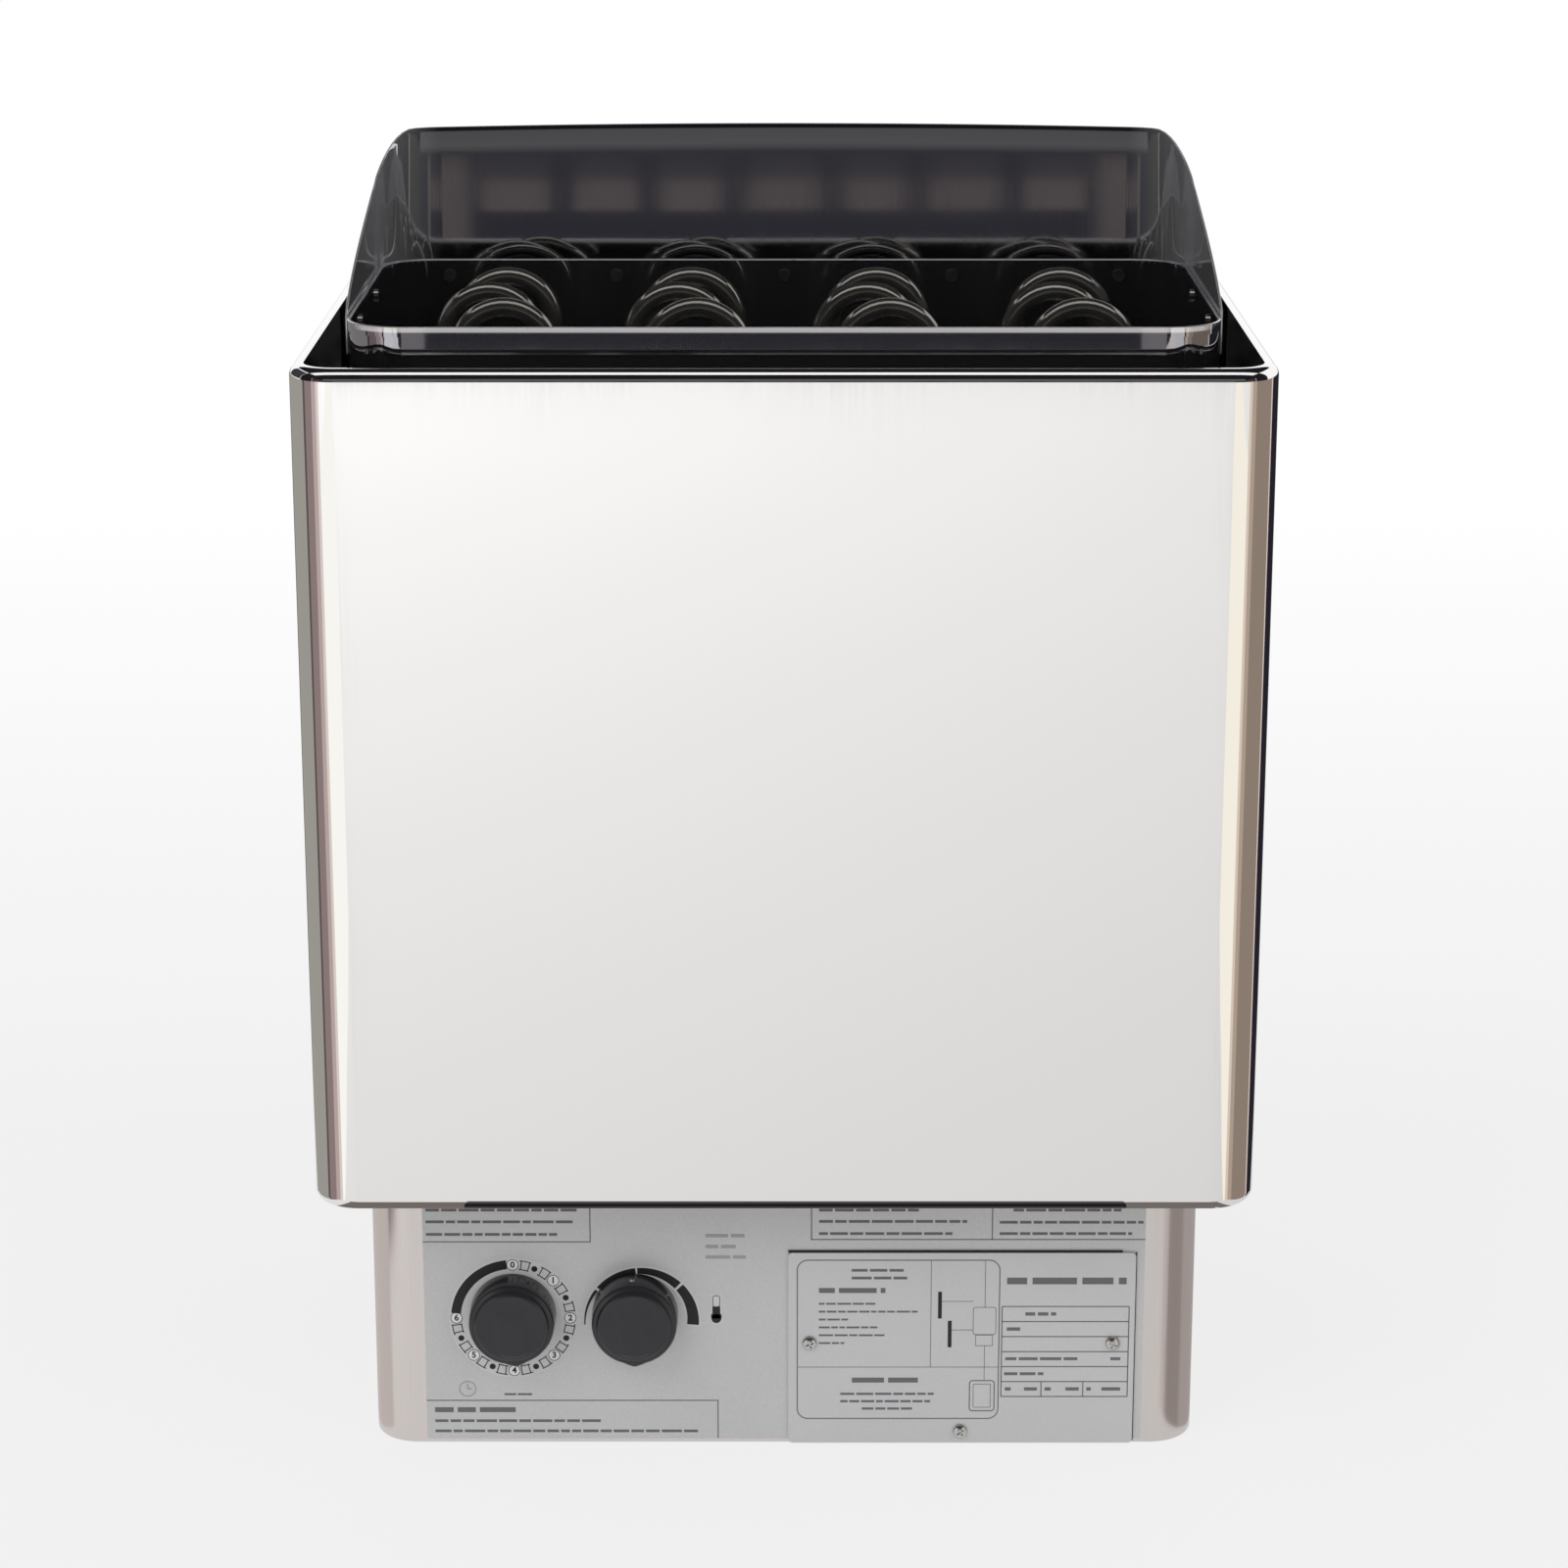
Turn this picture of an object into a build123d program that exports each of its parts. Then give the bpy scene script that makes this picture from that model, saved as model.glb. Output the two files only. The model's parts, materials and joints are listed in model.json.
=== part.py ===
from build123d import *
import os

os.makedirs("parts", exist_ok=True)

# Wall-hung electric sauna heater with a built-in timer and thermostat, in millimetres.
# X runs to the right, Y back towards the wall, Z up. The origin is under the middle of the foot.

# Outer casing
CASING_WIDTH = 410.0
CASING_DEPTH = 269.0  # front face to the rear lips
CASING_HEIGHT = 369.0
CASING_LIFT = 128.0  # foot of the heater to the casing's lower edge
CASING_CORNER = 20.0
CASING_SHEET = 1.0
CASING_REAR_LIP = 18.0  # lips turned in at the back
RIM_WIDTH = 6.0  # lips turned in along the top and the bottom
RIM_BEND = 5.0
WALL_GAP = 11.0  # rear lips to the wall

# Back panel and wall bracket
PANEL_SHEET = 1.0
PANEL_LIP = 12.0
PANEL_PLAY = 0.5
VENT_COUNT = 11
VENT_PITCH = 28.0
VENT_WIDTH = 6.0
VENT_LENGTH = 50.0
VENT_ROWS_BELOW_RIM = (185.0, 270.0)
BRACKET_WIDTH = 300.0
BRACKET_HEIGHT = 90.0
BRACKET_SHEET = 2.0
BRACKET_BELOW_RIM = 70.0  # rim of the stone box to the bracket's upper edge
BRACKET_HOLE_RADIUS = 3.25
BRACKET_HOLE_SPAN = 260.0
BRACKET_HOLE_RISE = 60.0
HOOK_SPAN = 200.0
HOOK_WIDTH = 24.0
HOOK_TIP = 12.0
HOOK_REACH = 3.0  # hook's tip in front of the back panel
HOOK_DROP = 40.0  # bracket's upper edge to the top of the hook's tongue
HOOK_SLOT_PLAY = 1.0
HOOK_SLOT_HEIGHT = 16.0
BUFFER_RADIUS = 9.0
BUFFER_STEM_RADIUS = 3.0
BUFFER_STEM_LENGTH = 4.0
BUFFER_SPAN = 240.0
BUFFER_HEIGHT = 40.0

# Stone box, its grate and what carries it
SIDE_AIR_GAP = 22.0  # casing's face to the box wall
FRONT_AIR_GAP = 28.0
REAR_AIR_GAP = 51.0
BOX_PROUD = 13.0  # box rim above the casing's rim
BOX_CORNER = 24.0
BOX_SHEET = 1.0
HEM_HEIGHT = 4.0
HEM_FOLD = 1.0
LEDGE_WIDTH = 12.0
GRATE_SHEET = 2.0
GRATE_PLAY = 0.5
GRATE_SLOT_COUNT = 14  # in each row
GRATE_ROW_COUNT = 4
GRATE_SLOT_WIDTH = 10.0
GRATE_SLOT_LENGTH = 22.0
GRATE_SLOT_PITCH = 19.0
RAIL_HEIGHT = 26.5
RAIL_WIDTH = 14.0
RAIL_SHEET = 1.5
RAIL_INSET = 3.0
STAY_SPAN = 220.0
STAY_WIDTH = 20.0
STAY_SHEET = 1.5
STAY_FLANGE = 14.0
STAY_BELOW_RIM = 60.0

# Steam hood
HOOD_RISE = 62.0  # box rim to the hood's upper edge
HOOD_SKIRT = 16.0  # overlap below the box rim
HOOD_SHEET = 1.0
HOOD_TIP_SETBACK = 28.0  # front of the box to the tips of the wings
HOOD_TIP_RISE = 3.0
HOOD_TIP_ROUND = 2.0
HOOD_SHOULDER = 15.0  # rounding where a wing's edge turns up to the back
WING_DROP = 16.5  # hood's upper edge to the rear end of a wing's edge
WING_BULGE = 5.5  # how far a wing's edge curves up from a straight line
RIVET_SHANK_RADIUS = 1.6
RIVET_HEAD_RADIUS = 2.8
RIVET_HEAD_HEIGHT = 1.0
RIVET_BELOW_RIM = 7.0
BACK_RIVET_COUNT = 5
BACK_RIVET_INSET = 31.0  # hood's side to the outermost rivet
SIDE_RIVET_PITCH = 70.0

# Heating elements
ELEMENT_DIAMETER = 8.5
ELEMENT_SIDE_CLEAR = 34.0  # box wall to the outermost leg
ELEMENT_PROUD = 4.5  # top of the arches above the box rim
ELEMENT_GROUND_CLEAR = 12.0  # grate to the lower bends
ARCH_COUNT = 4
ARCH_RADIUS = 20.0
ROW_PITCH = 43.5
ROW_SHIFTS = {"front": 4.0, "middle": -5.0, "rear": 0.0}  # staggered, so that stones interlock
LEG_PLAY = 0.75
BUSH_RADIUS = 8.0
BUSH_HEIGHT = 10.0
THREAD_RADIUS = 5.0
THREAD_LENGTH = 8.0
PIN_RADIUS = 2.2
PIN_LENGTH = 24.0
ELEMENT_NUT_ACROSS = 16.0
ELEMENT_NUT_HEIGHT = 5.0
LINK_SHEET = 1.5
LINK_MARGIN = 11.0
LINK_BELOW_THREAD = 11.0
LINK_NUT_ACROSS = 8.0
LINK_NUT_HEIGHT = 3.0

# Base
BASE_SIDE_STEP = 20.0  # casing's side to the base's side
BASE_SETBACK = 40.0  # casing's front to the base's front
BASE_TUCK = 22.0  # how far the base goes up inside the casing
BASE_CORNER = 20.0
BASE_SHEET = 1.0
BASE_BEND = 2.0
BASE_LIP = 12.0
BASE_REAR_LIP = 18.0
BASE_PLAY = 0.5
PLATE_SHEET = 1.5
FLOOR_RISE = 12.0  # foot of the heater to the floor plate
FLOOR_SHEET = 1.0
FLOOR_VENT_COUNT = 8
FLOOR_VENT_PITCH = 14.0
FLOOR_VENT_WIDTH = 4.0
FLOOR_VENT_LENGTH = 36.0
FLOOR_VENT_ROWS = (20.0, 70.0)

# Fascia and terminal cover
FASCIA_MARGIN = 24.0  # base's side to the fascia's edge
FASCIA_BOTTOM = 2.5
FASCIA_SHEET = 0.4
FASCIA_TUCK = 2.0  # fascia's upper edge below the casing's lower edge
COVER_RIGHT = 28.0  # base's side to the cover's edge
COVER_LEFT = 68.5  # thermostat's axis to the cover's edge
COVER_BOTTOM = 1.0
COVER_TOP = 93.0
COVER_SHEET = 1.2
COVER_CORNER = 2.0
COVER_SCREW_INSET = 9.6
COVER_SCREW_HEIGHT = 49.7
COVER_FOOT_SCREW_HEIGHT = 6.8
WINDOW_SIDE_MARGIN = 17.0  # cover's edge to the access window behind it
WINDOW_BOTTOM_MARGIN = 15.0
WINDOW_TOP_MARGIN = 9.0
WINDOW_CORNER = 5.0

# Timer and thermostat
TIMER_INSET = 63.8  # base's side to the timer's axis
CONTROL_PITCH = 54.6
CONTROL_HEIGHT = 63.8
TIMER_SET = 6.0  # degrees from straight down to the way the timer points
SHAFT_RADIUS = 3.0
SHAFT_PLAY = 0.05
SHAFT_FLAT = 0.8  # depth of the flat that the knob is keyed on
SHAFT_SEAT = 14.0  # length held inside the control's body
SHAFT_HOLE_RADIUS = 5.0
KNOB_RADIUS = 19.2
KNOB_FACE_RADIUS = 18.4
KNOB_HEIGHT = 16.0
KNOB_EDGE = 1.6
KNOB_GAP = 1.2
KNOB_WALL = 2.5
KNOB_HOLLOW = 7.0
KNOB_HUB_RADIUS = 5.5
KNOB_BORE_DEPTH = 10.0
KNOB_GROOVE_RADIUS = 15.6
KNOB_GROOVE_WIDTH = 0.9
KNOB_GROOVE_DEPTH = 0.5
GRIP_WIDTH = 12.0
GRIP_HEIGHT = 1.2
GRIP_TOP = 9.0  # axis to the round end of the grip
GRIP_MARGIN = 0.7  # lower end of the grip to the groove
NIB_REACH = 2.0
NIB_WIDTH = 16.0
NIB_LENGTH = 11.0
NIB_ROUND = 1.2
TIMER_SIDE = 46.0
TIMER_DEPTH = 34.0
TIMER_CORNER = 4.0
THERMOSTAT_RADIUS = 21.0
THERMOSTAT_DEPTH = 28.0
THERMOSTAT_NECK_RADIUS = 12.0
THERMOSTAT_NECK_DEPTH = 10.0
CONTROL_SCREW_PITCH = 22.0
CAPILLARY_DIAMETER = 2.0
CAPILLARY_BEND = 40.0
CAPILLARY_HOLE_RADIUS = 4.0
BULB_RADIUS = 4.0
BULB_LENGTH = 80.0
BULB_STANDOFF = 15.0
BULB_BELOW_RIM = 50.0
CLIP_WALL = 1.2
CLIP_HEIGHT = 8.0
CLIP_ARM = 6.0
CLIP_PITCH = 50.0

# Overheat limiter and its reset button
LIMITER_OFFSET = 42.0  # thermostat's axis to the limiter's axis
LIMITER_SETBACK = 70.0  # base's front to the limiter's axis
LIMITER_RADIUS = 14.0
LIMITER_HEIGHT = 24.0
LIMITER_WALL = 2.5
LIMITER_TAB = 8.0
LIMITER_TAB_SHEET = 1.0
RESET_RADIUS = 3.0
RESET_PLAY = 0.2
RESET_HANG = 6.0  # button below the floor plate
RESET_TRAVEL = 2.5
RESET_COLLAR_RADIUS = 5.5
RESET_COLLAR_HEIGHT = 2.0
RESET_HOLE_RADIUS = 7.0

# Terminals and wiring
BLOCK_SETBACK = 28.0
BLOCK_DEPTH = 28.0
BLOCK_HEIGHT = 32.0
POLE_COUNT = 5
POLE_PITCH = 16.0
BLOCK_END = 4.0
TERMINAL_RADIUS = 3.0
TERMINAL_LENGTH = 4.0
TERMINAL_RECESS = 2.0
TERMINAL_ROWS = (8.0, 24.0)
LEAD_RADIUS = 1.8
LEAD_BEND = 9.0
SLEEVE_RADIUS = 3.4
SLEEVE_LENGTH = 8.0
SLEEVE_END = 2.0
LEAD_FIRST_LEVEL = 22.0  # terminal block to the lowest lead
LEAD_LEVEL_STEP = 14.0
LINK_LEAD_LEVEL = 57.0  # terminal block to the lead that runs to the neutral link
EARTH_OFFSET = 60.0  # terminal block's middle to the earth stud
EARTH_SETBACK = 78.0
EARTH_RADIUS = 3.0
EARTH_HEIGHT = 20.0
EARTH_HEAD_ACROSS = 10.0
EARTH_HEAD_HEIGHT = 4.0
EARTH_NUT_HEIGHT = 5.0
GROMMET_OFFSET = 85.0  # base's side to the cable entry
GROMMET_INSET = 40.0  # base's back to the cable entry
GROMMET_BORE_RADIUS = 8.0
GROMMET_RADIUS = 12.0
GROMMET_FLANGE = 3.0
GROMMET_FLANGE_HEIGHT = 4.0

# Screws
SCREW_RADIUS = 1.75
SCREW_HEAD_RADIUS = 3.3
SCREW_HEAD_HEIGHT = 2.0
SCREW_LENGTH = 8.0
SCREW_SLOT_WIDTH = 0.9
SCREW_SLOT_DEPTH = 0.8
CASING_SCREW_COUNT = 3
CASING_SCREW_PITCH = 130.0
BASE_SCREW_HEIGHTS = (30.0, 105.0)
PLATE_SCREW_PITCH = 60.0

# Directions
UP = (0, 0, 1)
DOWN = (0, 0, -1)
FORWARD = (0, -1, 0)
BACKWARD = (0, 1, 0)

# Places that follow from the sizes
casing_half = CASING_WIDTH / 2
front_y = -(CASING_DEPTH + WALL_GAP) / 2
rear_y = front_y + CASING_DEPTH
wall_y = rear_y + WALL_GAP
casing_top = CASING_LIFT + CASING_HEIGHT
casing_fold = RIM_BEND + 2 * CASING_SHEET
panel_rear = rear_y - CASING_SHEET
panel_front = panel_rear - PANEL_SHEET
panel_half = casing_half - casing_fold - PANEL_PLAY
panel_bottom = CASING_LIFT + RIM_BEND + PANEL_PLAY
panel_top = casing_top - RIM_BEND - PANEL_PLAY
casing_screw_x = casing_half - (casing_fold + CASING_REAR_LIP) / 2

base_half = casing_half - BASE_SIDE_STEP
base_front = front_y + BASE_SETBACK
base_inside = base_front + BASE_SHEET
base_rear = panel_front
base_top = CASING_LIFT + BASE_TUCK
base_fold = BASE_BEND + 2 * BASE_SHEET
base_screw_x = base_half - (base_fold + BASE_REAR_LIP) / 2
base_back_rear = base_rear - BASE_SHEET
base_back_front = base_back_rear - BASE_SHEET
plate_top = base_top + PLATE_SHEET
floor_top = FLOOR_RISE
floor_bottom = floor_top - FLOOR_SHEET
fascia_face = base_front - FASCIA_SHEET
cover_face = fascia_face - COVER_SHEET

box_half = casing_half - SIDE_AIR_GAP
box_front = front_y + FRONT_AIR_GAP
box_rear = rear_y - REAR_AIR_GAP
box_middle = (box_front + box_rear) / 2
box_floor = plate_top + RAIL_HEIGHT
rim_z = casing_top + BOX_PROUD
grate_bottom = box_floor + BOX_SHEET
grate_top = grate_bottom + GRATE_SHEET
hood_half = box_half + HEM_FOLD + HOOD_SHEET
hood_rear = box_rear + HEM_FOLD + HOOD_SHEET
hood_top = rim_z + HOOD_RISE
rivet_z = rim_z - RIVET_BELOW_RIM
rivet_grip = HOOD_SHEET + HEM_FOLD + BOX_SHEET

row_names = list(ROW_SHIFTS)
row_y = {name: box_middle + (n - 1) * ROW_PITCH for n, name in enumerate(row_names)}
leg_x = box_half - BOX_SHEET - ELEMENT_SIDE_CLEAR - ELEMENT_DIAMETER / 2
arch_pitch = 2 * (leg_x - ARCH_RADIUS) / (ARCH_COUNT - 1)
foot_radius = arch_pitch / 2 - ARCH_RADIUS
arch_z = rim_z + ELEMENT_PROUD - ELEMENT_DIAMETER / 2 - ARCH_RADIUS
foot_z = grate_top + ELEMENT_GROUND_CLEAR + ELEMENT_DIAMETER / 2 + foot_radius
thread_bottom = base_top - THREAD_LENGTH
pin_bottom = thread_bottom - PIN_LENGTH
link_top = thread_bottom - LINK_BELOW_THREAD
link_bottom = link_top - LINK_SHEET

timer_x = -base_half + TIMER_INSET
thermostat_x = timer_x + CONTROL_PITCH
cover_left = thermostat_x + COVER_LEFT
cover_right = base_half - COVER_RIGHT
cover_middle = (cover_left + cover_right) / 2
knob_back = fascia_face - KNOB_GAP
capillary_y = panel_front - BULB_STANDOFF
bulb_top = rim_z - BULB_BELOW_RIM
bulb_bottom = bulb_top - BULB_LENGTH
limiter_x = thermostat_x + LIMITER_OFFSET
limiter_y = base_front + LIMITER_SETBACK
block_front = base_inside + BLOCK_SETBACK
block_rear = block_front + BLOCK_DEPTH
block_top = floor_top + BLOCK_HEIGHT
block_middle = (block_front + block_rear) / 2
earth_x = cover_middle - EARTH_OFFSET
earth_y = base_front + EARTH_SETBACK
grommet_x = base_half - GROMMET_OFFSET
grommet_y = base_back_front - GROMMET_INSET


# Shapes that several pieces share
def block(x0, x1, y0, y1, z0, z1):
    return Pos((x0 + x1) / 2, (y0 + y1) / 2, (z0 + z1) / 2) * Box(x1 - x0, y1 - y0, z1 - z0)


def rod(start, direction, length, radius):
    along = (Align.CENTER, Align.CENTER, Align.MIN)
    return Plane(origin=start, z_dir=direction) * Cylinder(radius, length, align=along)


def hexagon(start, direction, height, across):
    outline = RegularPolygon(across / 2, 6, major_radius=False)
    return Plane(origin=start, z_dir=direction) * extrude(outline, amount=height)


def joined(shapes):
    return shapes[0] + shapes[1:]


# Rounded rectangle seen from above, with its own radius at the front and rear corners
def plan(half_width, y0, y1, front_corner, rear_corner):
    outline = Pos(0, (y0 + y1) / 2) * Rectangle(2 * half_width, y1 - y0)
    if front_corner:
        outline = fillet(outline.vertices().group_by(Axis.Y)[0], front_corner)
    return fillet(outline.vertices().group_by(Axis.Y)[-1], rear_corner)


def prism(outline, z0, z1):
    return Pos(0, 0, z0) * extrude(outline, amount=z1 - z0)


def rounded_ends(solid, radius):
    edges = solid.edges().group_by(Axis.Z)
    return fillet(edges[0] + edges[-1], radius)


# Front and sides of one folded sheet, with lips turned in at the top, the bottom and the back
def folded_wrap(half_width, y0, y1, z0, z1, corner, sheet, bend, lip, rear_lip):
    fold = bend + 2 * sheet
    outer = rounded_ends(prism(plan(half_width, y0, y1, corner, fold), z0, z1), bend)
    hollow = plan(half_width - sheet, y0 + sheet, y1 - sheet, corner - sheet, fold - sheet)
    inner = rounded_ends(prism(hollow, z0 + sheet, z1 - sheet), bend - sheet)
    mouth = plan(half_width - lip, y0 + lip, y1 - lip, max(corner - lip, sheet), sheet)
    rear_half = half_width - rear_lip
    rear_mouth = block(-rear_half, rear_half, y1 - lip - sheet, y1 + sheet, z0 - sheet, z1 + sheet)
    return outer - inner - prism(mouth, z0 - sheet, z1 + sheet) - rear_mouth


# Slotted pan-head screw, its head seated at the start and its shank along the direction
def screw(start, direction):
    seat = Plane(origin=start, z_dir=direction)
    along = (Align.CENTER, Align.CENTER, Align.MIN)
    head = Cylinder(SCREW_HEAD_RADIUS, SCREW_HEAD_HEIGHT, align=(Align.CENTER, Align.CENTER, Align.MAX))
    head = fillet(head.edges().group_by(Axis.Z)[0], SCREW_HEAD_HEIGHT / 2)
    slot = Box(SCREW_SLOT_WIDTH, 3 * SCREW_HEAD_RADIUS, SCREW_SLOT_DEPTH, align=along)
    slot = Pos(0, 0, -SCREW_HEAD_HEIGHT) * slot
    return seat * (head + Cylinder(SCREW_RADIUS, SCREW_LENGTH, align=along) - slot)


def screw_hole(start, direction):
    return rod(start, direction, SCREW_LENGTH, SCREW_RADIUS)


# Places that two or more pieces line up on
def casing_screw_spots():
    middle = CASING_LIFT + CASING_HEIGHT / 2
    steps = [(n - (CASING_SCREW_COUNT - 1) / 2) * CASING_SCREW_PITCH for n in range(CASING_SCREW_COUNT)]
    return [(side * casing_screw_x, rear_y, middle + step) for side in (-1, 1) for step in steps]


def panel_screw_spots():
    z = (panel_bottom + base_top - BASE_BEND) / 2
    return [(side * base_screw_x, panel_rear, z) for side in (-1, 1)]


def base_screw_spots():
    return [(side * base_screw_x, base_rear, z) for side in (-1, 1) for z in BASE_SCREW_HEIGHTS]


def plate_screw_spots():
    x = base_half - BASE_LIP / 2 - BASE_SHEET
    rows = [box_middle + step * PLATE_SCREW_PITCH / 2 for step in (-1, 1)]
    return [(side * x, y, plate_top) for side in (-1, 1) for y in rows]


def cover_screw_spots():
    left = (cover_left + COVER_SCREW_INSET, cover_face, COVER_SCREW_HEIGHT)
    right = (cover_right - COVER_SCREW_INSET, cover_face, COVER_SCREW_HEIGHT)
    return [left, right, (cover_middle, cover_face, COVER_FOOT_SCREW_HEIGHT)]


def control_screw_spots():
    steps = (-CONTROL_SCREW_PITCH / 2, CONTROL_SCREW_PITCH / 2)
    return [(x + step, fascia_face, CONTROL_HEIGHT) for x in (timer_x, thermostat_x) for step in steps]


# Each rivet's place on the outside of the hood, and the way that its shank points
def rivet_spots():
    spots = []
    reach = hood_half - BACK_RIVET_INSET
    for n in range(BACK_RIVET_COUNT):
        x = -reach + n * 2 * reach / (BACK_RIVET_COUNT - 1)
        spots.append(((x, hood_rear, rivet_z), FORWARD))
    for side in (-1, 1):
        for step in (-1, 1):
            y = box_middle + step * SIDE_RIVET_PITCH / 2
            spots.append(((side * hood_half, y, rivet_z), (-side, 0, 0)))
    return spots


def rivet_holes():
    return [rod(start, way, rivet_grip, RIVET_SHANK_RADIUS) for start, way in rivet_spots()]


def leg_spots(name):
    return [(side * leg_x + ROW_SHIFTS[name], row_y[name]) for side in (-1, 1)]


def all_leg_spots():
    return [spot for name in row_names for spot in leg_spots(name)]


# Shafts, screws and the access window, cut through whatever lies in front of the base
def front_cuts():
    cuts = [screw_hole(spot, BACKWARD) for spot in cover_screw_spots()]
    cuts += [screw_hole(spot, BACKWARD) for spot in control_screw_spots()]
    for x in (timer_x, thermostat_x):
        cuts.append(rod((x, fascia_face, CONTROL_HEIGHT), BACKWARD, SCREW_LENGTH, SHAFT_HOLE_RADIUS))
    left = cover_left + WINDOW_SIDE_MARGIN
    right = cover_right - WINDOW_SIDE_MARGIN
    bottom = COVER_BOTTOM + WINDOW_BOTTOM_MARGIN
    window = block(left, right, fascia_face, base_inside, bottom, COVER_TOP - WINDOW_TOP_MARGIN)
    cuts.append(fillet(window.edges().filter_by(Axis.Y), WINDOW_CORNER))
    return cuts


# Upper half: casing, back panel, stone box, hood and elements
def outer_casing():
    wrap = folded_wrap(
        casing_half, front_y, rear_y, CASING_LIFT, casing_top,
        CASING_CORNER, CASING_SHEET, RIM_BEND, RIM_WIDTH, CASING_REAR_LIP,
    )
    return wrap - [screw_hole(spot, FORWARD) for spot in casing_screw_spots()]


def hook_top():
    return rim_z - BRACKET_BELOW_RIM - HOOK_DROP


def back_panel():
    sheet = block(-panel_half, panel_half, panel_front, panel_rear, panel_bottom, panel_top)
    lip_front = panel_front - PANEL_LIP
    lip_bottom = panel_top - PANEL_SHEET
    panel = sheet + block(-panel_half, panel_half, lip_front, panel_rear, lip_bottom, panel_top)
    cuts = [screw_hole(spot, FORWARD) for spot in casing_screw_spots() + panel_screw_spots()]
    slot_half = HOOK_WIDTH / 2 + HOOK_SLOT_PLAY
    for side in (-1, 1):
        x = side * HOOK_SPAN / 2
        z = hook_top()
        cuts.append(block(x - slot_half, x + slot_half, panel_front, panel_rear, z - HOOK_SLOT_HEIGHT, z))
    vent = Plane.XZ * SlotOverall(VENT_LENGTH, VENT_WIDTH, rotation=90)
    for drop in VENT_ROWS_BELOW_RIM:
        for n in range(VENT_COUNT):
            x = (n - (VENT_COUNT - 1) / 2) * VENT_PITCH
            cuts.append(Pos(x, panel_rear, rim_z - drop) * extrude(vent, amount=PANEL_SHEET))
    return panel - cuts


def wall_bracket():
    half = BRACKET_WIDTH / 2
    top = rim_z - BRACKET_BELOW_RIM
    bottom = top - BRACKET_HEIGHT
    plate_front = wall_y - BRACKET_SHEET
    bracket = block(-half, half, plate_front, wall_y, bottom, top)
    for z in (bottom, top - BRACKET_SHEET):
        bracket += block(-half, half, panel_rear, wall_y, z, z + BRACKET_SHEET)
    tip_front = panel_front - HOOK_REACH - BRACKET_SHEET
    for side in (-1, 1):
        x0 = side * HOOK_SPAN / 2 - HOOK_WIDTH / 2
        x1 = x0 + HOOK_WIDTH
        z = hook_top()
        bracket += block(x0, x1, tip_front, plate_front, z - BRACKET_SHEET, z)
        bracket += block(x0, x1, tip_front, tip_front + BRACKET_SHEET, z - BRACKET_SHEET, z + HOOK_TIP)
    middle = (bottom + top) / 2
    holes = []
    for x in (-BRACKET_HOLE_SPAN / 2, BRACKET_HOLE_SPAN / 2):
        for z in (middle - BRACKET_HOLE_RISE / 2, middle + BRACKET_HOLE_RISE / 2):
            holes.append(rod((x, plate_front, z), BACKWARD, BRACKET_SHEET, BRACKET_HOLE_RADIUS))
    return bracket - holes


def box_ring(outset, inset, z0, z1):
    corner = BOX_CORNER + outset
    outer = plan(box_half + outset, box_front - outset, box_rear + outset, corner, corner)
    corner = max(BOX_CORNER - inset, BOX_SHEET)
    inner = plan(box_half - inset, box_front + inset, box_rear - inset, corner, corner)
    return prism(outer - inner, z0, z1)


def stone_box():
    walls = box_ring(0, BOX_SHEET, box_floor, rim_z)
    hem = box_ring(HEM_FOLD, BOX_SHEET, rim_z - HEM_HEIGHT, rim_z)
    ledge = box_ring(0, LEDGE_WIDTH, box_floor, box_floor + BOX_SHEET)
    return walls + hem + ledge - rivet_holes()


def steam_hood():
    corner = BOX_CORNER + HEM_FOLD
    outer = plan(hood_half, box_front, hood_rear, 0, corner + HOOD_SHEET)
    inner = plan(hood_half - HOOD_SHEET, box_front - HOOD_SHEET, hood_rear - HOOD_SHEET, 0, corner)
    bottom = rim_z - HOOD_SKIRT
    tip = (box_front + HOOD_TIP_SETBACK, rim_z + HOOD_TIP_RISE)
    turn = (hood_rear - corner, hood_top - WING_DROP)
    crest = ((tip[0] + turn[0]) / 2, (tip[1] + turn[1]) / 2 + WING_BULGE)
    back = (hood_rear - HOOD_SHEET, hood_top)
    edge = [
        Line((tip[0], bottom), tip),
        ThreePointArc(tip, crest, turn),
        Polyline(turn, back, (hood_rear, hood_top), (hood_rear, bottom), (tip[0], bottom)),
    ]
    outline = make_face(edge)
    outline = fillet(outline.vertices().sort_by_distance(turn)[0], HOOD_SHOULDER)
    outline = fillet(outline.vertices().sort_by_distance(tip)[0], HOOD_TIP_ROUND)
    side_view = extrude(Plane.YZ * outline, amount=hood_half, both=True)
    return (prism(outer - inner, bottom, hood_top) & side_view) - rivet_holes()


def hood_rivets():
    rivets = []
    for start, way in rivet_spots():
        seat = Plane(origin=start, z_dir=way)
        back = tuple(-step for step in way)
        inside = seat.origin + seat.z_dir * rivet_grip
        rivet = rod(start, way, rivet_grip, RIVET_SHANK_RADIUS)
        rivet += rod(start, back, RIVET_HEAD_HEIGHT, RIVET_HEAD_RADIUS)
        rivets.append(rivet + rod(inside, way, RIVET_HEAD_HEIGHT, RIVET_HEAD_RADIUS))
    return joined(rivets)


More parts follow.
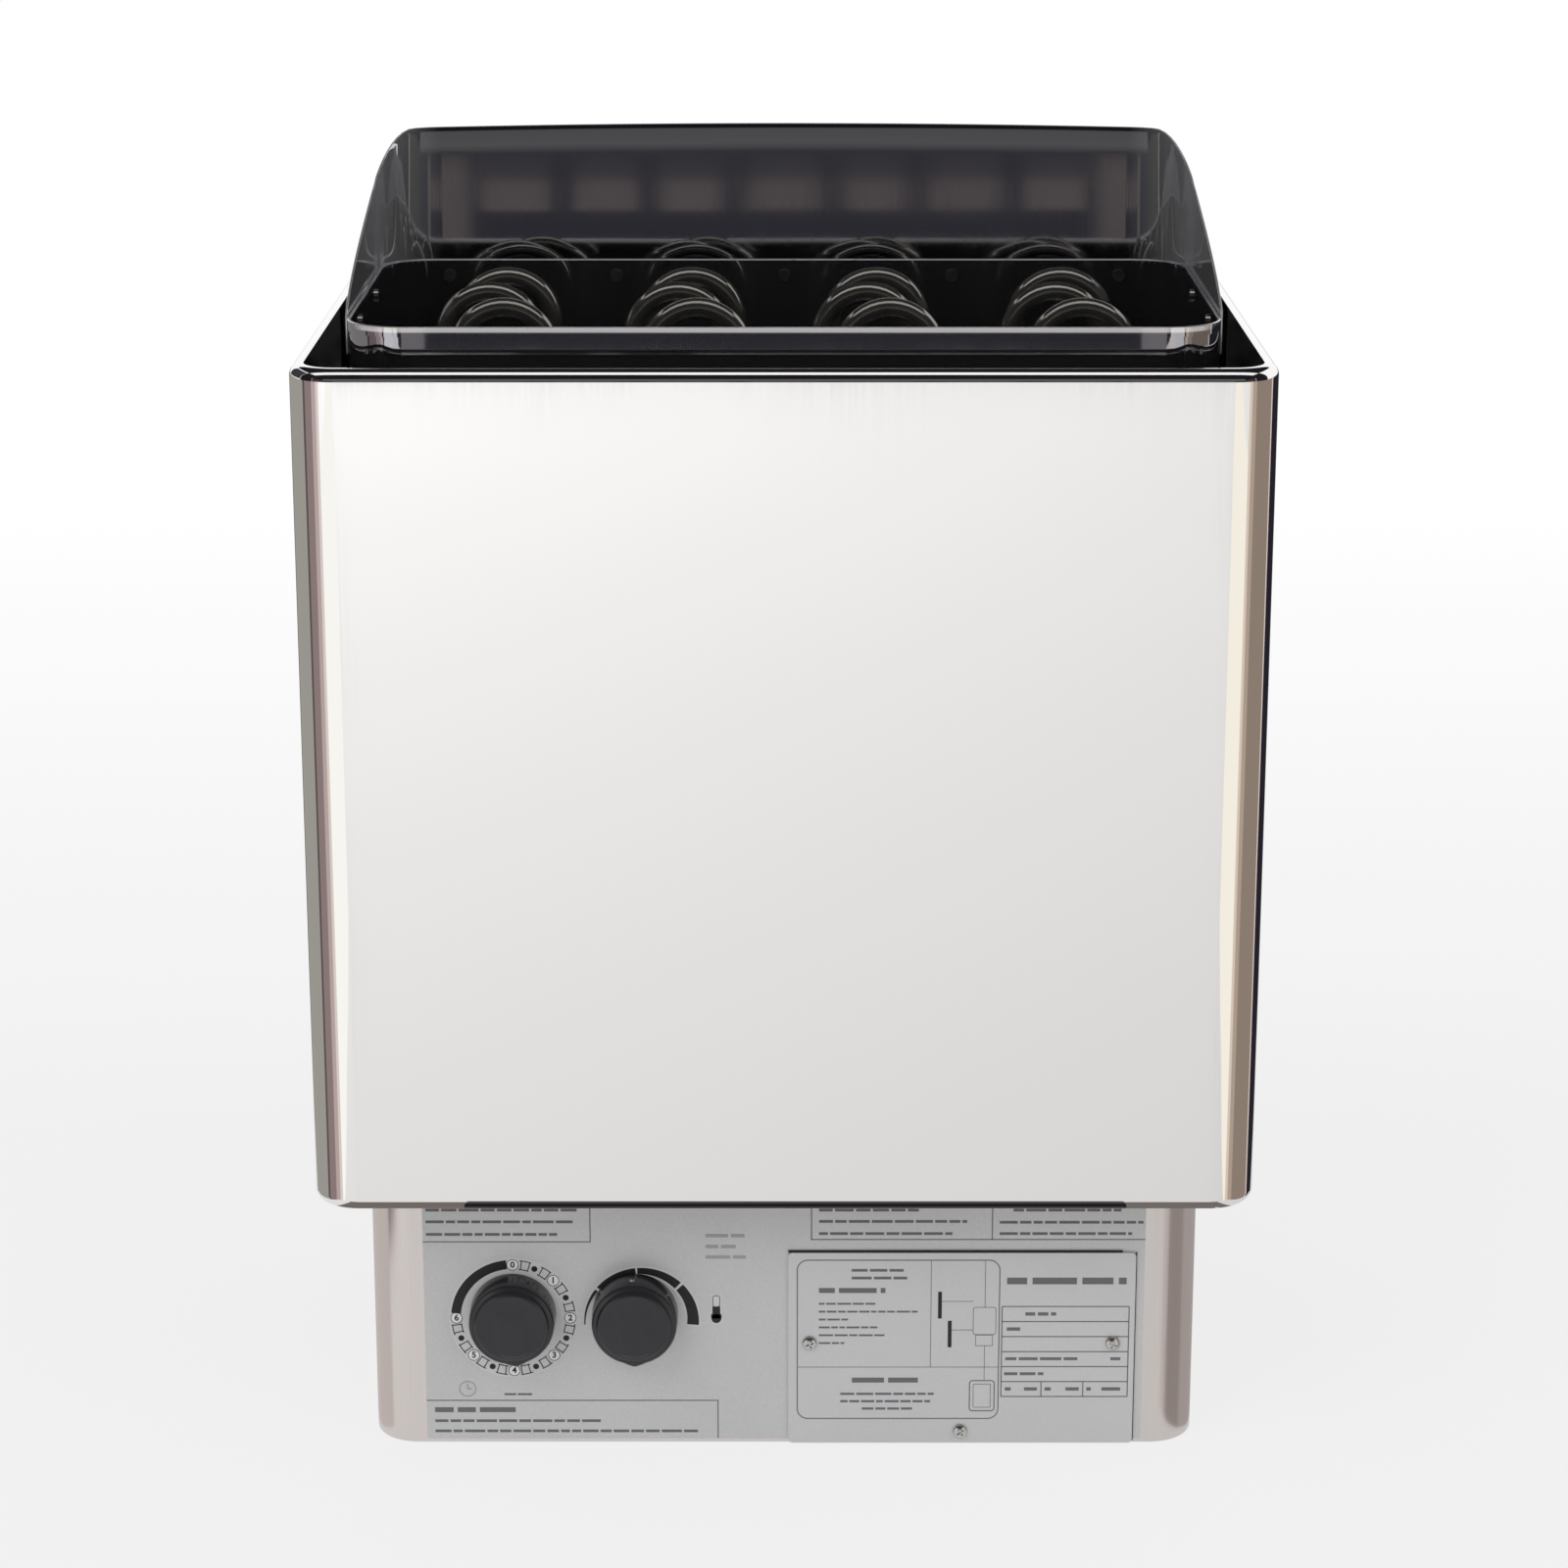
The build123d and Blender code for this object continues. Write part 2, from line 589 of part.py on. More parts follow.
def stone_grate():
    inset = BOX_SHEET + GRATE_PLAY
    corner = BOX_CORNER - inset
    outline = plan(box_half - inset, box_front + inset, box_rear - inset, corner, corner)
    slot_x = [(n - (GRATE_SLOT_COUNT - 1) / 2) * GRATE_SLOT_PITCH for n in range(GRATE_SLOT_COUNT)]
    slot_y = [box_middle + (n - (GRATE_ROW_COUNT - 1) / 2) * ROW_PITCH for n in range(GRATE_ROW_COUNT)]
    slot = SlotOverall(GRATE_SLOT_LENGTH, GRATE_SLOT_WIDTH, rotation=90)
    outline -= [Pos(x, y) * slot for x in slot_x for y in slot_y]
    outline -= [Pos(x, y) * Circle(ELEMENT_DIAMETER / 2 + LEG_PLAY) for x, y in all_leg_spots()]
    return prism(outline, grate_bottom, grate_top)


def support_rail(y0):
    half = casing_half - CASING_SHEET
    y1 = y0 + RAIL_WIDTH
    rail = block(-half, half, y0, y1, box_floor - RAIL_SHEET, box_floor)
    for y in (y0, y1 - RAIL_SHEET):
        rail += block(-half, half, y, y + RAIL_SHEET, plate_top, box_floor)
    for x in (-half, half - RAIL_SHEET):
        rail += block(x, x + RAIL_SHEET, y0, y1, plate_top, box_floor)
    return rail


def rear_stays():
    stays = []
    z = rim_z - STAY_BELOW_RIM
    for side in (-1, 1):
        x0 = side * STAY_SPAN / 2 - STAY_WIDTH / 2
        x1 = x0 + STAY_WIDTH
        stay = block(x0, x1, box_rear, panel_front, z, z + STAY_SHEET)
        for y in (box_rear, panel_front - STAY_SHEET):
            stay += block(x0, x1, y, y + STAY_SHEET, z, z + STAY_FLANGE)
        stays.append(stay)
    return joined(stays)


# Serpentine tube: up one leg, over the arches, and down the last leg
def element_path(name):
    y = row_y[name]
    x = -leg_x + ROW_SHIFTS[name]
    runs = [Line((x, y, plate_top), (x, y, arch_z))]
    for n in range(ARCH_COUNT):
        far = x + 2 * ARCH_RADIUS
        crest = (x + ARCH_RADIUS, y, arch_z + ARCH_RADIUS)
        runs.append(ThreePointArc((x, y, arch_z), crest, (far, y, arch_z)))
        if n == ARCH_COUNT - 1:
            runs.append(Line((far, y, arch_z), (far, y, plate_top)))
            break
        x = far + 2 * foot_radius
        low = (far + foot_radius, y, foot_z - foot_radius)
        runs.append(Line((far, y, arch_z), (far, y, foot_z)))
        runs.append(ThreePointArc((far, y, foot_z), low, (x, y, foot_z)))
        runs.append(Line((x, y, foot_z), (x, y, arch_z)))
    return Wire(runs)


def heating_element(name):
    path = element_path(name)
    section = Plane(origin=path @ 0, z_dir=UP) * Circle(ELEMENT_DIAMETER / 2)
    element = sweep(section, path=path)
    for x, y in leg_spots(name):
        element += rod((x, y, plate_top), UP, BUSH_HEIGHT, BUSH_RADIUS)
        element += rod((x, y, plate_top), DOWN, plate_top - thread_bottom, THREAD_RADIUS)
        element += rod((x, y, thread_bottom), DOWN, PIN_LENGTH, PIN_RADIUS)
    return element


def element_nuts():
    nuts = []
    for x, y in all_leg_spots():
        nut = hexagon((x, y, base_top), DOWN, ELEMENT_NUT_HEIGHT, ELEMENT_NUT_ACROSS)
        nuts.append(nut - rod((x, y, base_top), DOWN, ELEMENT_NUT_HEIGHT, THREAD_RADIUS))
    return joined(nuts)


def neutral_link():
    spots = [leg_spots(name)[0] for name in row_names]
    xs = [x for x, y in spots]
    ys = [y for x, y in spots]
    low = (min(xs) - LINK_MARGIN, min(ys) - LINK_MARGIN)
    high = (max(xs) + LINK_MARGIN, max(ys) + LINK_MARGIN)
    link = block(low[0], high[0], low[1], high[1], link_bottom, link_top)
    return link - [rod((x, y, link_top), DOWN, LINK_SHEET, PIN_RADIUS) for x, y in spots]


def link_nuts():
    nuts = []
    for name in row_names:
        x, y = leg_spots(name)[0]
        nut = hexagon((x, y, link_bottom), DOWN, LINK_NUT_HEIGHT, LINK_NUT_ACROSS)
        nuts.append(nut - rod((x, y, link_bottom), DOWN, LINK_NUT_HEIGHT, PIN_RADIUS))
    return joined(nuts)


# Base: shell, top plate, floor, back and what is on its front
def base_shell():
    wrap = folded_wrap(
        base_half, base_front, base_rear, 0, base_top,
        BASE_CORNER, BASE_SHEET, BASE_BEND, BASE_LIP, BASE_REAR_LIP,
    )
    holes = [screw_hole(spot, FORWARD) for spot in base_screw_spots()]
    holes += [screw_hole(spot, FORWARD) for spot in panel_screw_spots()]
    holes += [screw_hole(spot, DOWN) for spot in plate_screw_spots()]
    return wrap - holes - front_cuts()


def element_plate():
    corner = BASE_CORNER - BASE_BEND
    outline = plan(base_half - BASE_BEND, base_front + BASE_BEND, base_rear - BASE_BEND, corner, base_fold)
    outline -= [Pos(x, y) * Circle(THREAD_RADIUS) for x, y in all_leg_spots()]
    outline -= Pos(thermostat_x, capillary_y) * Circle(CAPILLARY_HOLE_RADIUS)
    return prism(outline, base_top, plate_top) - [screw_hole(spot, DOWN) for spot in plate_screw_spots()]


def base_back():
    half = base_half - base_fold - BASE_PLAY
    bottom = BASE_BEND + BASE_PLAY
    top = base_top - BASE_BEND - BASE_PLAY
    plate = block(-half, half, base_back_front, base_back_rear, bottom, top)
    holes = [screw_hole(spot, FORWARD) for spot in base_screw_spots() + panel_screw_spots()]
    for side in (-1, 1):
        stem = (side * BUFFER_SPAN / 2, base_back_rear, BUFFER_HEIGHT)
        holes.append(rod(stem, FORWARD, BASE_SHEET, BUFFER_STEM_RADIUS))
    return plate - holes


def wall_buffers():
    buffers = []
    for side in (-1, 1):
        start = (side * BUFFER_SPAN / 2, base_back_rear, BUFFER_HEIGHT)
        buffer = rod(start, BACKWARD, wall_y - base_back_rear, BUFFER_RADIUS)
        buffers.append(buffer + rod(start, FORWARD, BUFFER_STEM_LENGTH, BUFFER_STEM_RADIUS))
    return joined(buffers)


# Upturned tray: its skirt stands on the lip round the foot of the base
def base_floor():
    inset = BASE_BEND + BASE_PLAY
    rear = base_back_front - BASE_PLAY
    corner = BASE_CORNER - inset

    def tray_plan(wall):
        half = base_half - inset - wall
        rear_corner = base_fold + FLOOR_SHEET - wall
        return plan(half, base_front + inset + wall, rear - wall, corner - wall, rear_corner)

    tray = prism(tray_plan(0), BASE_SHEET, floor_top)
    tray -= prism(tray_plan(FLOOR_SHEET), BASE_SHEET, floor_bottom)
    cuts = [rod((limiter_x, limiter_y, floor_bottom), UP, FLOOR_SHEET, RESET_HOLE_RADIUS)]
    cuts.append(rod((grommet_x, grommet_y, floor_bottom), UP, FLOOR_SHEET, GROMMET_RADIUS))
    cuts.append(rod((earth_x, earth_y, floor_bottom), UP, FLOOR_SHEET, EARTH_RADIUS))
    cuts += [screw_hole(spot, BACKWARD) for spot in cover_screw_spots()]
    slot = SlotOverall(FLOOR_VENT_LENGTH, FLOOR_VENT_WIDTH, rotation=90)
    for y in FLOOR_VENT_ROWS:
        for n in range(FLOOR_VENT_COUNT):
            x = timer_x + (n - (FLOOR_VENT_COUNT - 1) / 2) * FLOOR_VENT_PITCH
            cuts.append(prism(Pos(x, y) * slot, floor_bottom, floor_top))
    return tray - cuts


def fascia_plate():
    half = base_half - FASCIA_MARGIN
    plate = block(-half, half, fascia_face, base_front, FASCIA_BOTTOM, CASING_LIFT - FASCIA_TUCK)
    return plate - front_cuts()


def terminal_cover():
    plate = block(cover_left, cover_right, cover_face, fascia_face, COVER_BOTTOM, COVER_TOP)
    plate = fillet(plate.edges().filter_by(Axis.Y), COVER_CORNER)
    return plate - [screw_hole(spot, BACKWARD) for spot in cover_screw_spots()]


def screws(spots, direction):
    return joined([screw(spot, direction) for spot in spots])


# Timer and thermostat
def knob(x, turn):
    along = (Align.CENTER, Align.CENTER, Align.MIN)
    body = Cone(KNOB_RADIUS, KNOB_FACE_RADIUS, KNOB_HEIGHT, align=along)
    body = fillet(body.edges().group_by(Axis.Z)[-1], KNOB_EDGE)
    groove = Circle(KNOB_GROOVE_RADIUS) - Circle(KNOB_GROOVE_RADIUS - KNOB_GROOVE_WIDTH)
    body -= Pos(0, 0, KNOB_HEIGHT - KNOB_GROOVE_DEPTH) * extrude(groove, amount=KNOB_GROOVE_DEPTH)
    grip_end = -(KNOB_GROOVE_RADIUS - KNOB_GROOVE_WIDTH - GRIP_MARGIN)
    grip = extrude(SlotOverall(GRIP_TOP - grip_end, GRIP_WIDTH, rotation=90), amount=GRIP_HEIGHT)
    grip = fillet(grip.edges().group_by(Axis.Z)[-1], GRIP_HEIGHT / 2)
    body += Pos(0, (GRIP_TOP + grip_end) / 2, KNOB_HEIGHT) * grip
    tip = -(KNOB_RADIUS + NIB_REACH)
    root = -KNOB_GROOVE_RADIUS
    nib = Polygon((-NIB_WIDTH / 2, root), (0, tip), (NIB_WIDTH / 2, root), align=None)
    nib = fillet(nib.vertices().sort_by(Axis.Y)[0], NIB_ROUND)
    body += Pos(0, 0, KNOB_HEIGHT - KNOB_EDGE - NIB_LENGTH) * extrude(nib, amount=NIB_LENGTH)
    hollow = Circle(KNOB_FACE_RADIUS - KNOB_WALL) - Circle(KNOB_HUB_RADIUS)
    body -= extrude(hollow, amount=KNOB_HOLLOW)
    bore = Circle(SHAFT_RADIUS + SHAFT_PLAY)
    bore -= Pos(0, SHAFT_RADIUS - SHAFT_FLAT + SHAFT_PLAY) * Rectangle(
        4 * SHAFT_RADIUS, 4 * SHAFT_RADIUS, align=(Align.CENTER, Align.MIN)
    )
    body -= extrude(bore, amount=KNOB_BORE_DEPTH)
    seat = Plane(origin=(x, knob_back, CONTROL_HEIGHT), x_dir=(1, 0, 0), z_dir=FORWARD)
    return seat * Rot(0, 0, turn) * body


# Round shaft with a flat where the knob sits
def control_shaft(x, turn):
    along = (Align.CENTER, Align.CENTER, Align.MIN)
    inside = base_inside + SHAFT_SEAT - knob_back
    shaft = Pos(0, 0, -inside) * Cylinder(SHAFT_RADIUS, inside + KNOB_BORE_DEPTH, align=along)
    flat = Box(2 * SHAFT_RADIUS, 2 * SHAFT_FLAT, KNOB_BORE_DEPTH, align=along)
    shaft -= Pos(0, SHAFT_RADIUS, 0) * flat
    seat = Plane(origin=(x, knob_back, CONTROL_HEIGHT), x_dir=(1, 0, 0), z_dir=FORWARD)
    return seat * Rot(0, 0, turn) * shaft


def shaft_bore(x):
    start = (x, base_inside, CONTROL_HEIGHT)
    return rod(start, BACKWARD, SHAFT_SEAT + SHAFT_PLAY, SHAFT_RADIUS + SHAFT_PLAY)


def control_screw_holes():
    return [screw_hole(spot, BACKWARD) for spot in control_screw_spots()]


def timer_body():
    half = TIMER_SIDE / 2
    rear = base_inside + TIMER_DEPTH
    low = CONTROL_HEIGHT - half
    body = block(timer_x - half, timer_x + half, base_inside, rear, low, low + TIMER_SIDE)
    body = fillet(body.edges().filter_by(Axis.Y), TIMER_CORNER)
    return body - shaft_bore(timer_x) - control_screw_holes()


def thermostat_body():
    front = (thermostat_x, base_inside, CONTROL_HEIGHT)
    rear = (thermostat_x, base_inside + THERMOSTAT_DEPTH, CONTROL_HEIGHT)
    body = rod(front, BACKWARD, THERMOSTAT_DEPTH, THERMOSTAT_RADIUS)
    body += rod(rear, BACKWARD, THERMOSTAT_NECK_DEPTH, THERMOSTAT_NECK_RADIUS)
    return body - shaft_bore(thermostat_x) - control_screw_holes()


def capillary_tube():
    start = (thermostat_x, base_inside + THERMOSTAT_DEPTH + THERMOSTAT_NECK_DEPTH, CONTROL_HEIGHT)
    corner = (thermostat_x, capillary_y, CONTROL_HEIGHT)
    path = FilletPolyline(start, corner, (thermostat_x, capillary_y, bulb_bottom), radius=CAPILLARY_BEND)
    return sweep(Plane(origin=start, z_dir=BACKWARD) * Circle(CAPILLARY_DIAMETER / 2), path=path)


def sensor_bulb():
    return rod((thermostat_x, capillary_y, bulb_bottom), UP, BULB_LENGTH, BULB_RADIUS)


def bulb_clips():
    clips = []
    middle = (bulb_bottom + bulb_top) / 2
    for step in (-1, 1):
        z = middle + step * CLIP_PITCH / 2 - CLIP_HEIGHT / 2
        ring = rod((thermostat_x, capillary_y, z), UP, CLIP_HEIGHT, BULB_RADIUS + CLIP_WALL)
        x0 = thermostat_x - CLIP_ARM / 2
        ring += block(x0, x0 + CLIP_ARM, capillary_y, panel_front, z, z + CLIP_HEIGHT)
        clips.append(ring - rod((thermostat_x, capillary_y, z), UP, CLIP_HEIGHT, BULB_RADIUS))
    return joined(clips)


# Overheat limiter on the floor plate, with its button hanging through
def overheat_limiter():
    seat = (limiter_x, limiter_y, floor_top)
    body = rod(seat, UP, LIMITER_HEIGHT, LIMITER_RADIUS)
    for side in (-1, 1):
        x0 = limiter_x + (side * LIMITER_RADIUS - LIMITER_TAB_SHEET) / 2
        y0 = limiter_y - LIMITER_TAB / 2
        z0 = floor_top + LIMITER_HEIGHT
        body += block(x0, x0 + LIMITER_TAB_SHEET, y0, y0 + LIMITER_TAB, z0, z0 + LIMITER_TAB)
    body -= rod(seat, UP, LIMITER_WALL, RESET_RADIUS + RESET_PLAY)
    room = RESET_COLLAR_HEIGHT + RESET_TRAVEL + RESET_PLAY
    chamber = (limiter_x, limiter_y, floor_top + LIMITER_WALL)
    return body - rod(chamber, UP, room, RESET_COLLAR_RADIUS + RESET_PLAY)


def reset_button():
    collar = floor_top + LIMITER_WALL
    tip = floor_bottom - RESET_HANG
    button = rod((limiter_x, limiter_y, tip), UP, collar - tip, RESET_RADIUS)
    button = fillet(button.edges().group_by(Axis.Z)[0], RESET_RADIUS / 3)
    return button + rod((limiter_x, limiter_y, collar), UP, RESET_COLLAR_HEIGHT, RESET_COLLAR_RADIUS)


# Terminals and wiring
def pole_x(n):
    return cover_middle + (n - (POLE_COUNT - 1) / 2) * POLE_PITCH


def terminal_spots():
    return [(pole_x(n), block_front, floor_top + z) for n in range(POLE_COUNT) for z in TERMINAL_ROWS]


def terminal_block():
    half = POLE_COUNT * POLE_PITCH / 2 + BLOCK_END
    body = block(cover_middle - half, cover_middle + half, block_front, block_rear, floor_top, block_top)
    depth = TERMINAL_RECESS + TERMINAL_LENGTH
    return body - [rod(spot, BACKWARD, depth, TERMINAL_RADIUS) for spot in terminal_spots()]


def terminal_screws():
    made = []
    for x, y, z in terminal_spots():
        head = y + TERMINAL_RECESS
        body = rod((x, head, z), BACKWARD, TERMINAL_LENGTH, TERMINAL_RADIUS)
        slot = Box(SCREW_SLOT_WIDTH, 2 * SCREW_SLOT_DEPTH, 2 * TERMINAL_RADIUS)
        made.append(body - Pos(x, head, z) * slot)
    return joined(made)


def lead(n, level, end):
    start = (pole_x(n), block_middle, block_top)
    x, y, z = end
    path = FilletPolyline(start, (start[0], start[1], level), (x, y, level), end, radius=LEAD_BEND)
    return sweep(Plane(origin=start, z_dir=UP) * Circle(LEAD_RADIUS), path=path)


# One lead to each element, with a sleeve over its pin, one to the neutral link and one to earth
def power_leads():
    leads = []
    for n, name in enumerate(row_names):
        x, y = leg_spots(name)[1]
        foot = pin_bottom - SLEEVE_END
        level = block_top + LEAD_FIRST_LEVEL + n * LEAD_LEVEL_STEP
        sleeve = rod((x, y, foot), UP, SLEEVE_END + SLEEVE_LENGTH, SLEEVE_RADIUS)
        sleeve -= rod((x, y, pin_bottom), UP, SLEEVE_LENGTH, PIN_RADIUS)
        leads.append(lead(POLE_COUNT - 1 - n, level, (x, y, foot)) + sleeve)
    link_x, link_y = leg_spots("middle")[0]
    link_y -= ROW_PITCH / 2
    leads.append(lead(1, block_top + LINK_LEAD_LEVEL, (link_x, link_y, link_bottom)))
    leads.append(lead(0, block_top + LEAD_FIRST_LEVEL, (earth_x, earth_y, floor_top + EARTH_HEIGHT)))
    return joined(leads)


def earth_stud():
    stud = rod((earth_x, earth_y, floor_bottom), UP, EARTH_HEIGHT + FLOOR_SHEET, EARTH_RADIUS)
    return stud + hexagon((earth_x, earth_y, floor_bottom), DOWN, EARTH_HEAD_HEIGHT, EARTH_HEAD_ACROSS)


def earth_nut():
    nut = hexagon((earth_x, earth_y, floor_top), UP, EARTH_NUT_HEIGHT, EARTH_HEAD_ACROSS)
    return nut - rod((earth_x, earth_y, floor_top), UP, EARTH_NUT_HEIGHT, EARTH_RADIUS)


def cable_grommet():
    low = floor_bottom - GROMMET_FLANGE_HEIGHT
    height = 2 * GROMMET_FLANGE_HEIGHT + FLOOR_SHEET
    collar = rod((grommet_x, grommet_y, low), UP, height, GROMMET_RADIUS)
    for z in (low, floor_top):
        collar += rod((grommet_x, grommet_y, z), UP, GROMMET_FLANGE_HEIGHT, GROMMET_RADIUS + GROMMET_FLANGE)
    return collar - rod((grommet_x, grommet_y, low), UP, height, GROMMET_BORE_RADIUS)


nodes = {
    "outer_casing": outer_casing(),
    "back_panel": back_panel(),
    "wall_bracket": wall_bracket(),
    "wall_buffers": wall_buffers(),
    "casing_screws": screws(casing_screw_spots(), FORWARD),
    "panel_screws": screws(panel_screw_spots(), FORWARD),
    "stone_box": stone_box(),
    "stone_grate": stone_grate(),
    "support_rail_front": support_rail(base_front + RAIL_INSET),
    "support_rail_rear": support_rail(box_rear - RAIL_INSET - RAIL_WIDTH),
    "rear_stays": rear_stays(),
    "steam_hood": steam_hood(),
    "hood_rivets": hood_rivets(),
    "element_nuts": element_nuts(),
    "neutral_link": neutral_link(),
    "link_nuts": link_nuts(),
    "base_shell": base_shell(),
    "element_plate": element_plate(),
    "plate_screws": screws(plate_screw_spots(), DOWN),
    "base_back": base_back(),
    "base_back_screws": screws(base_screw_spots(), FORWARD),
    "base_floor": base_floor(),
    "fascia_plate": fascia_plate(),
    "terminal_cover": terminal_cover(),
    "cover_screws": screws(cover_screw_spots(), BACKWARD),
    "control_screws": screws(control_screw_spots(), BACKWARD),
    "timer_body": timer_body(),
    "timer_shaft": control_shaft(timer_x, TIMER_SET),
    "timer_knob": knob(timer_x, TIMER_SET),
    "thermostat_body": thermostat_body(),
    "thermostat_shaft": control_shaft(thermostat_x, 0),
    "thermostat_knob": knob(thermostat_x, 0),
    "capillary_tube": capillary_tube(),
    "sensor_bulb": sensor_bulb(),
    "bulb_clips": bulb_clips(),
    "overheat_limiter": overheat_limiter(),
    "reset_button": reset_button(),
    "terminal_block": terminal_block(),
    "terminal_screws": terminal_screws(),
    "power_leads": power_leads(),
    "earth_stud": earth_stud(),
    "earth_nut": earth_nut(),
    "cable_grommet": cable_grommet(),
}
for name in row_names:
    nodes[f"heating_element_{name}"] = heating_element(name)

for name, solid in nodes.items():
    export_step(solid, f"parts/{name}.step")
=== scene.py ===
import json
import math
import random

import bpy
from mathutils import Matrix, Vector


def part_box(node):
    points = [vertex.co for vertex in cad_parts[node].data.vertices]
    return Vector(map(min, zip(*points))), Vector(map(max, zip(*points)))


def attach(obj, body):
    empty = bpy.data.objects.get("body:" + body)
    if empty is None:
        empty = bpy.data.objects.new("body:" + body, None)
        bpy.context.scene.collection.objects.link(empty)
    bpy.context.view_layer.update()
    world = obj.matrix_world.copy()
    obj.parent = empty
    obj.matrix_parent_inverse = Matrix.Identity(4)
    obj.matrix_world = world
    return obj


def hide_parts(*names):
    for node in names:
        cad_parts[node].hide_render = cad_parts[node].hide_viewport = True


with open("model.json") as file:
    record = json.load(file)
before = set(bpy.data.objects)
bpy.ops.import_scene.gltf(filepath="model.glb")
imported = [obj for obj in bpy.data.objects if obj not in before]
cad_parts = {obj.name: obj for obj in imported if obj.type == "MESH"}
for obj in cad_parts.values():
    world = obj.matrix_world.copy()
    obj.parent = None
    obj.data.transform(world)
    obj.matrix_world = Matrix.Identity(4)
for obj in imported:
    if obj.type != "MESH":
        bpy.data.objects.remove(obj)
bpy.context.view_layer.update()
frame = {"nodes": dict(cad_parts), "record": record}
nodes = frame["nodes"]
mm = 0.001
scene = bpy.context.scene
scene.view_settings.view_transform = "Standard"


# Small tools that every section uses

def linear(code):
    # sRGB hex to the linear values that Blender's sockets take
    shares = [int(code[n:n + 2], 16) / 255 for n in (1, 3, 5)]
    return tuple(s / 12.92 if s <= 0.04045 else ((s + 0.055) / 1.055) ** 2.4 for s in shares) + (1.0,)


def addNode(tree, kind, sockets=None, **settings):
    # one node: a socket given as a value is linked, a hex colour is made linear, a number is set as it is
    node = tree.nodes.new("ShaderNode" + kind)
    for name, value in settings.items():
        setattr(node, name, value)
    for name, value in (sockets or {}).items():
        if isinstance(value, bpy.types.NodeSocket):
            tree.links.new(value, node.inputs[name])
        else:
            node.inputs[name].default_value = linear(value) if isinstance(value, str) else value
    return node


def startMaterial(name):
    # an empty material, and the Object coordinates that its patterns read
    material = bpy.data.materials.new(name)
    material.use_nodes = True
    tree = material.node_tree
    tree.nodes.clear()
    place = addNode(tree, "TexCoord").outputs["Object"]
    return material, tree, place


def finishMaterial(tree, sockets):
    # the Principled shader that every finish ends in
    shader = addNode(tree, "BsdfPrincipled", sockets)
    addNode(tree, "OutputMaterial", {"Surface": shader.outputs["BSDF"]})


def grain(sizeMm):
    # texture scale that makes one pattern cell this many millimetres wide, in metres
    return 1 / (sizeMm * mm)


def noise(tree, place, sizeMm, detail, squeeze=1):
    # noise with cells this many millimetres wide, drawn out upwards where the squeeze is below 1
    if squeeze < 1:
        place = addNode(tree, "Mapping", {"Vector": place, "Scale": (1, 1, squeeze)}).outputs["Vector"]
    return addNode(tree, "TexNoise", {
        "Vector": place, "Scale": grain(sizeMm), "Detail": detail}).outputs["Fac"]


def blend(tree, share, dark, light):
    return addNode(tree, "Mix", {0: share, "A": dark, "B": light}, data_type="RGBA").outputs["Result"]


def remap(tree, value, low, high, start=0, end=1):
    # low to high, as the value goes from start to end
    return addNode(tree, "MapRange", {
        "Value": value, "From Min": start, "From Max": end, "To Min": low, "To Max": high}).outputs["Result"]


def reckon(tree, operation, *values):
    return addNode(tree, "Math", dict(enumerate(values)), operation=operation).outputs["Value"]


def deselect():
    if bpy.context.object and bpy.context.object.mode != "OBJECT":
        bpy.ops.object.mode_set(mode="OBJECT")
    bpy.ops.object.select_all(action="DESELECT")


def only(piece):
    deselect()
    piece.select_set(True)
    bpy.context.view_layer.objects.active = piece


def paint(piece, material):
    piece.data.materials.clear()
    piece.data.materials.append(material)


def apply(piece):
    only(piece)
    bpy.ops.object.transform_apply(location=True, rotation=True, scale=True)


def editAll(piece):
    only(piece)
    bpy.ops.object.mode_set(mode="EDIT")
    bpy.ops.mesh.select_all(action="SELECT")


def leaveEdit():
    bpy.ops.object.mode_set(mode="OBJECT")


def outward(piece):
    editAll(piece)
    bpy.ops.mesh.normals_make_consistent(inside=False)
    leaveEdit()


def thicken(piece, thickness, offset):
    only(piece)
    skin = piece.modifiers.new("thickness", "SOLIDIFY")
    skin.thickness = thickness
    skin.offset = offset
    bpy.ops.object.modifier_apply(modifier=skin.name)


def smooth(piece, degrees):
    only(piece)
    bpy.ops.object.shade_smooth_by_angle(angle=math.radians(degrees))


def joinAll(pieces, name):
    deselect()
    for piece in pieces:
        piece.select_set(True)
    bpy.context.view_layer.objects.active = pieces[0]
    bpy.ops.object.join()
    pieces[0].name = name
    return pieces[0]


# Materials

def dullPatch(tree, place, tint, metal, film):
    # colour and metal share with painted light on a polished sheet: a paler, less metallic patch,
    # a painted highlight on the box's rim and painted light on the hood's wings;
    # each bound of the film names an axis, where it starts and where it is full
    axes = addNode(tree, "SeparateXYZ", {"Vector": place}).outputs
    share = 1
    for axis, start, full in film["bounds"]:
        along = axes[axis[-1]]
        if axis.startswith("abs"):
            along = reckon(tree, "ABSOLUTE", along)
        share = reckon(tree, "MULTIPLY", remap(tree, along, 0, 1, start * mm, full * mm), share)
    return blend(tree, share, tint, film["colour"]), remap(tree, share, metal, film["metal"])


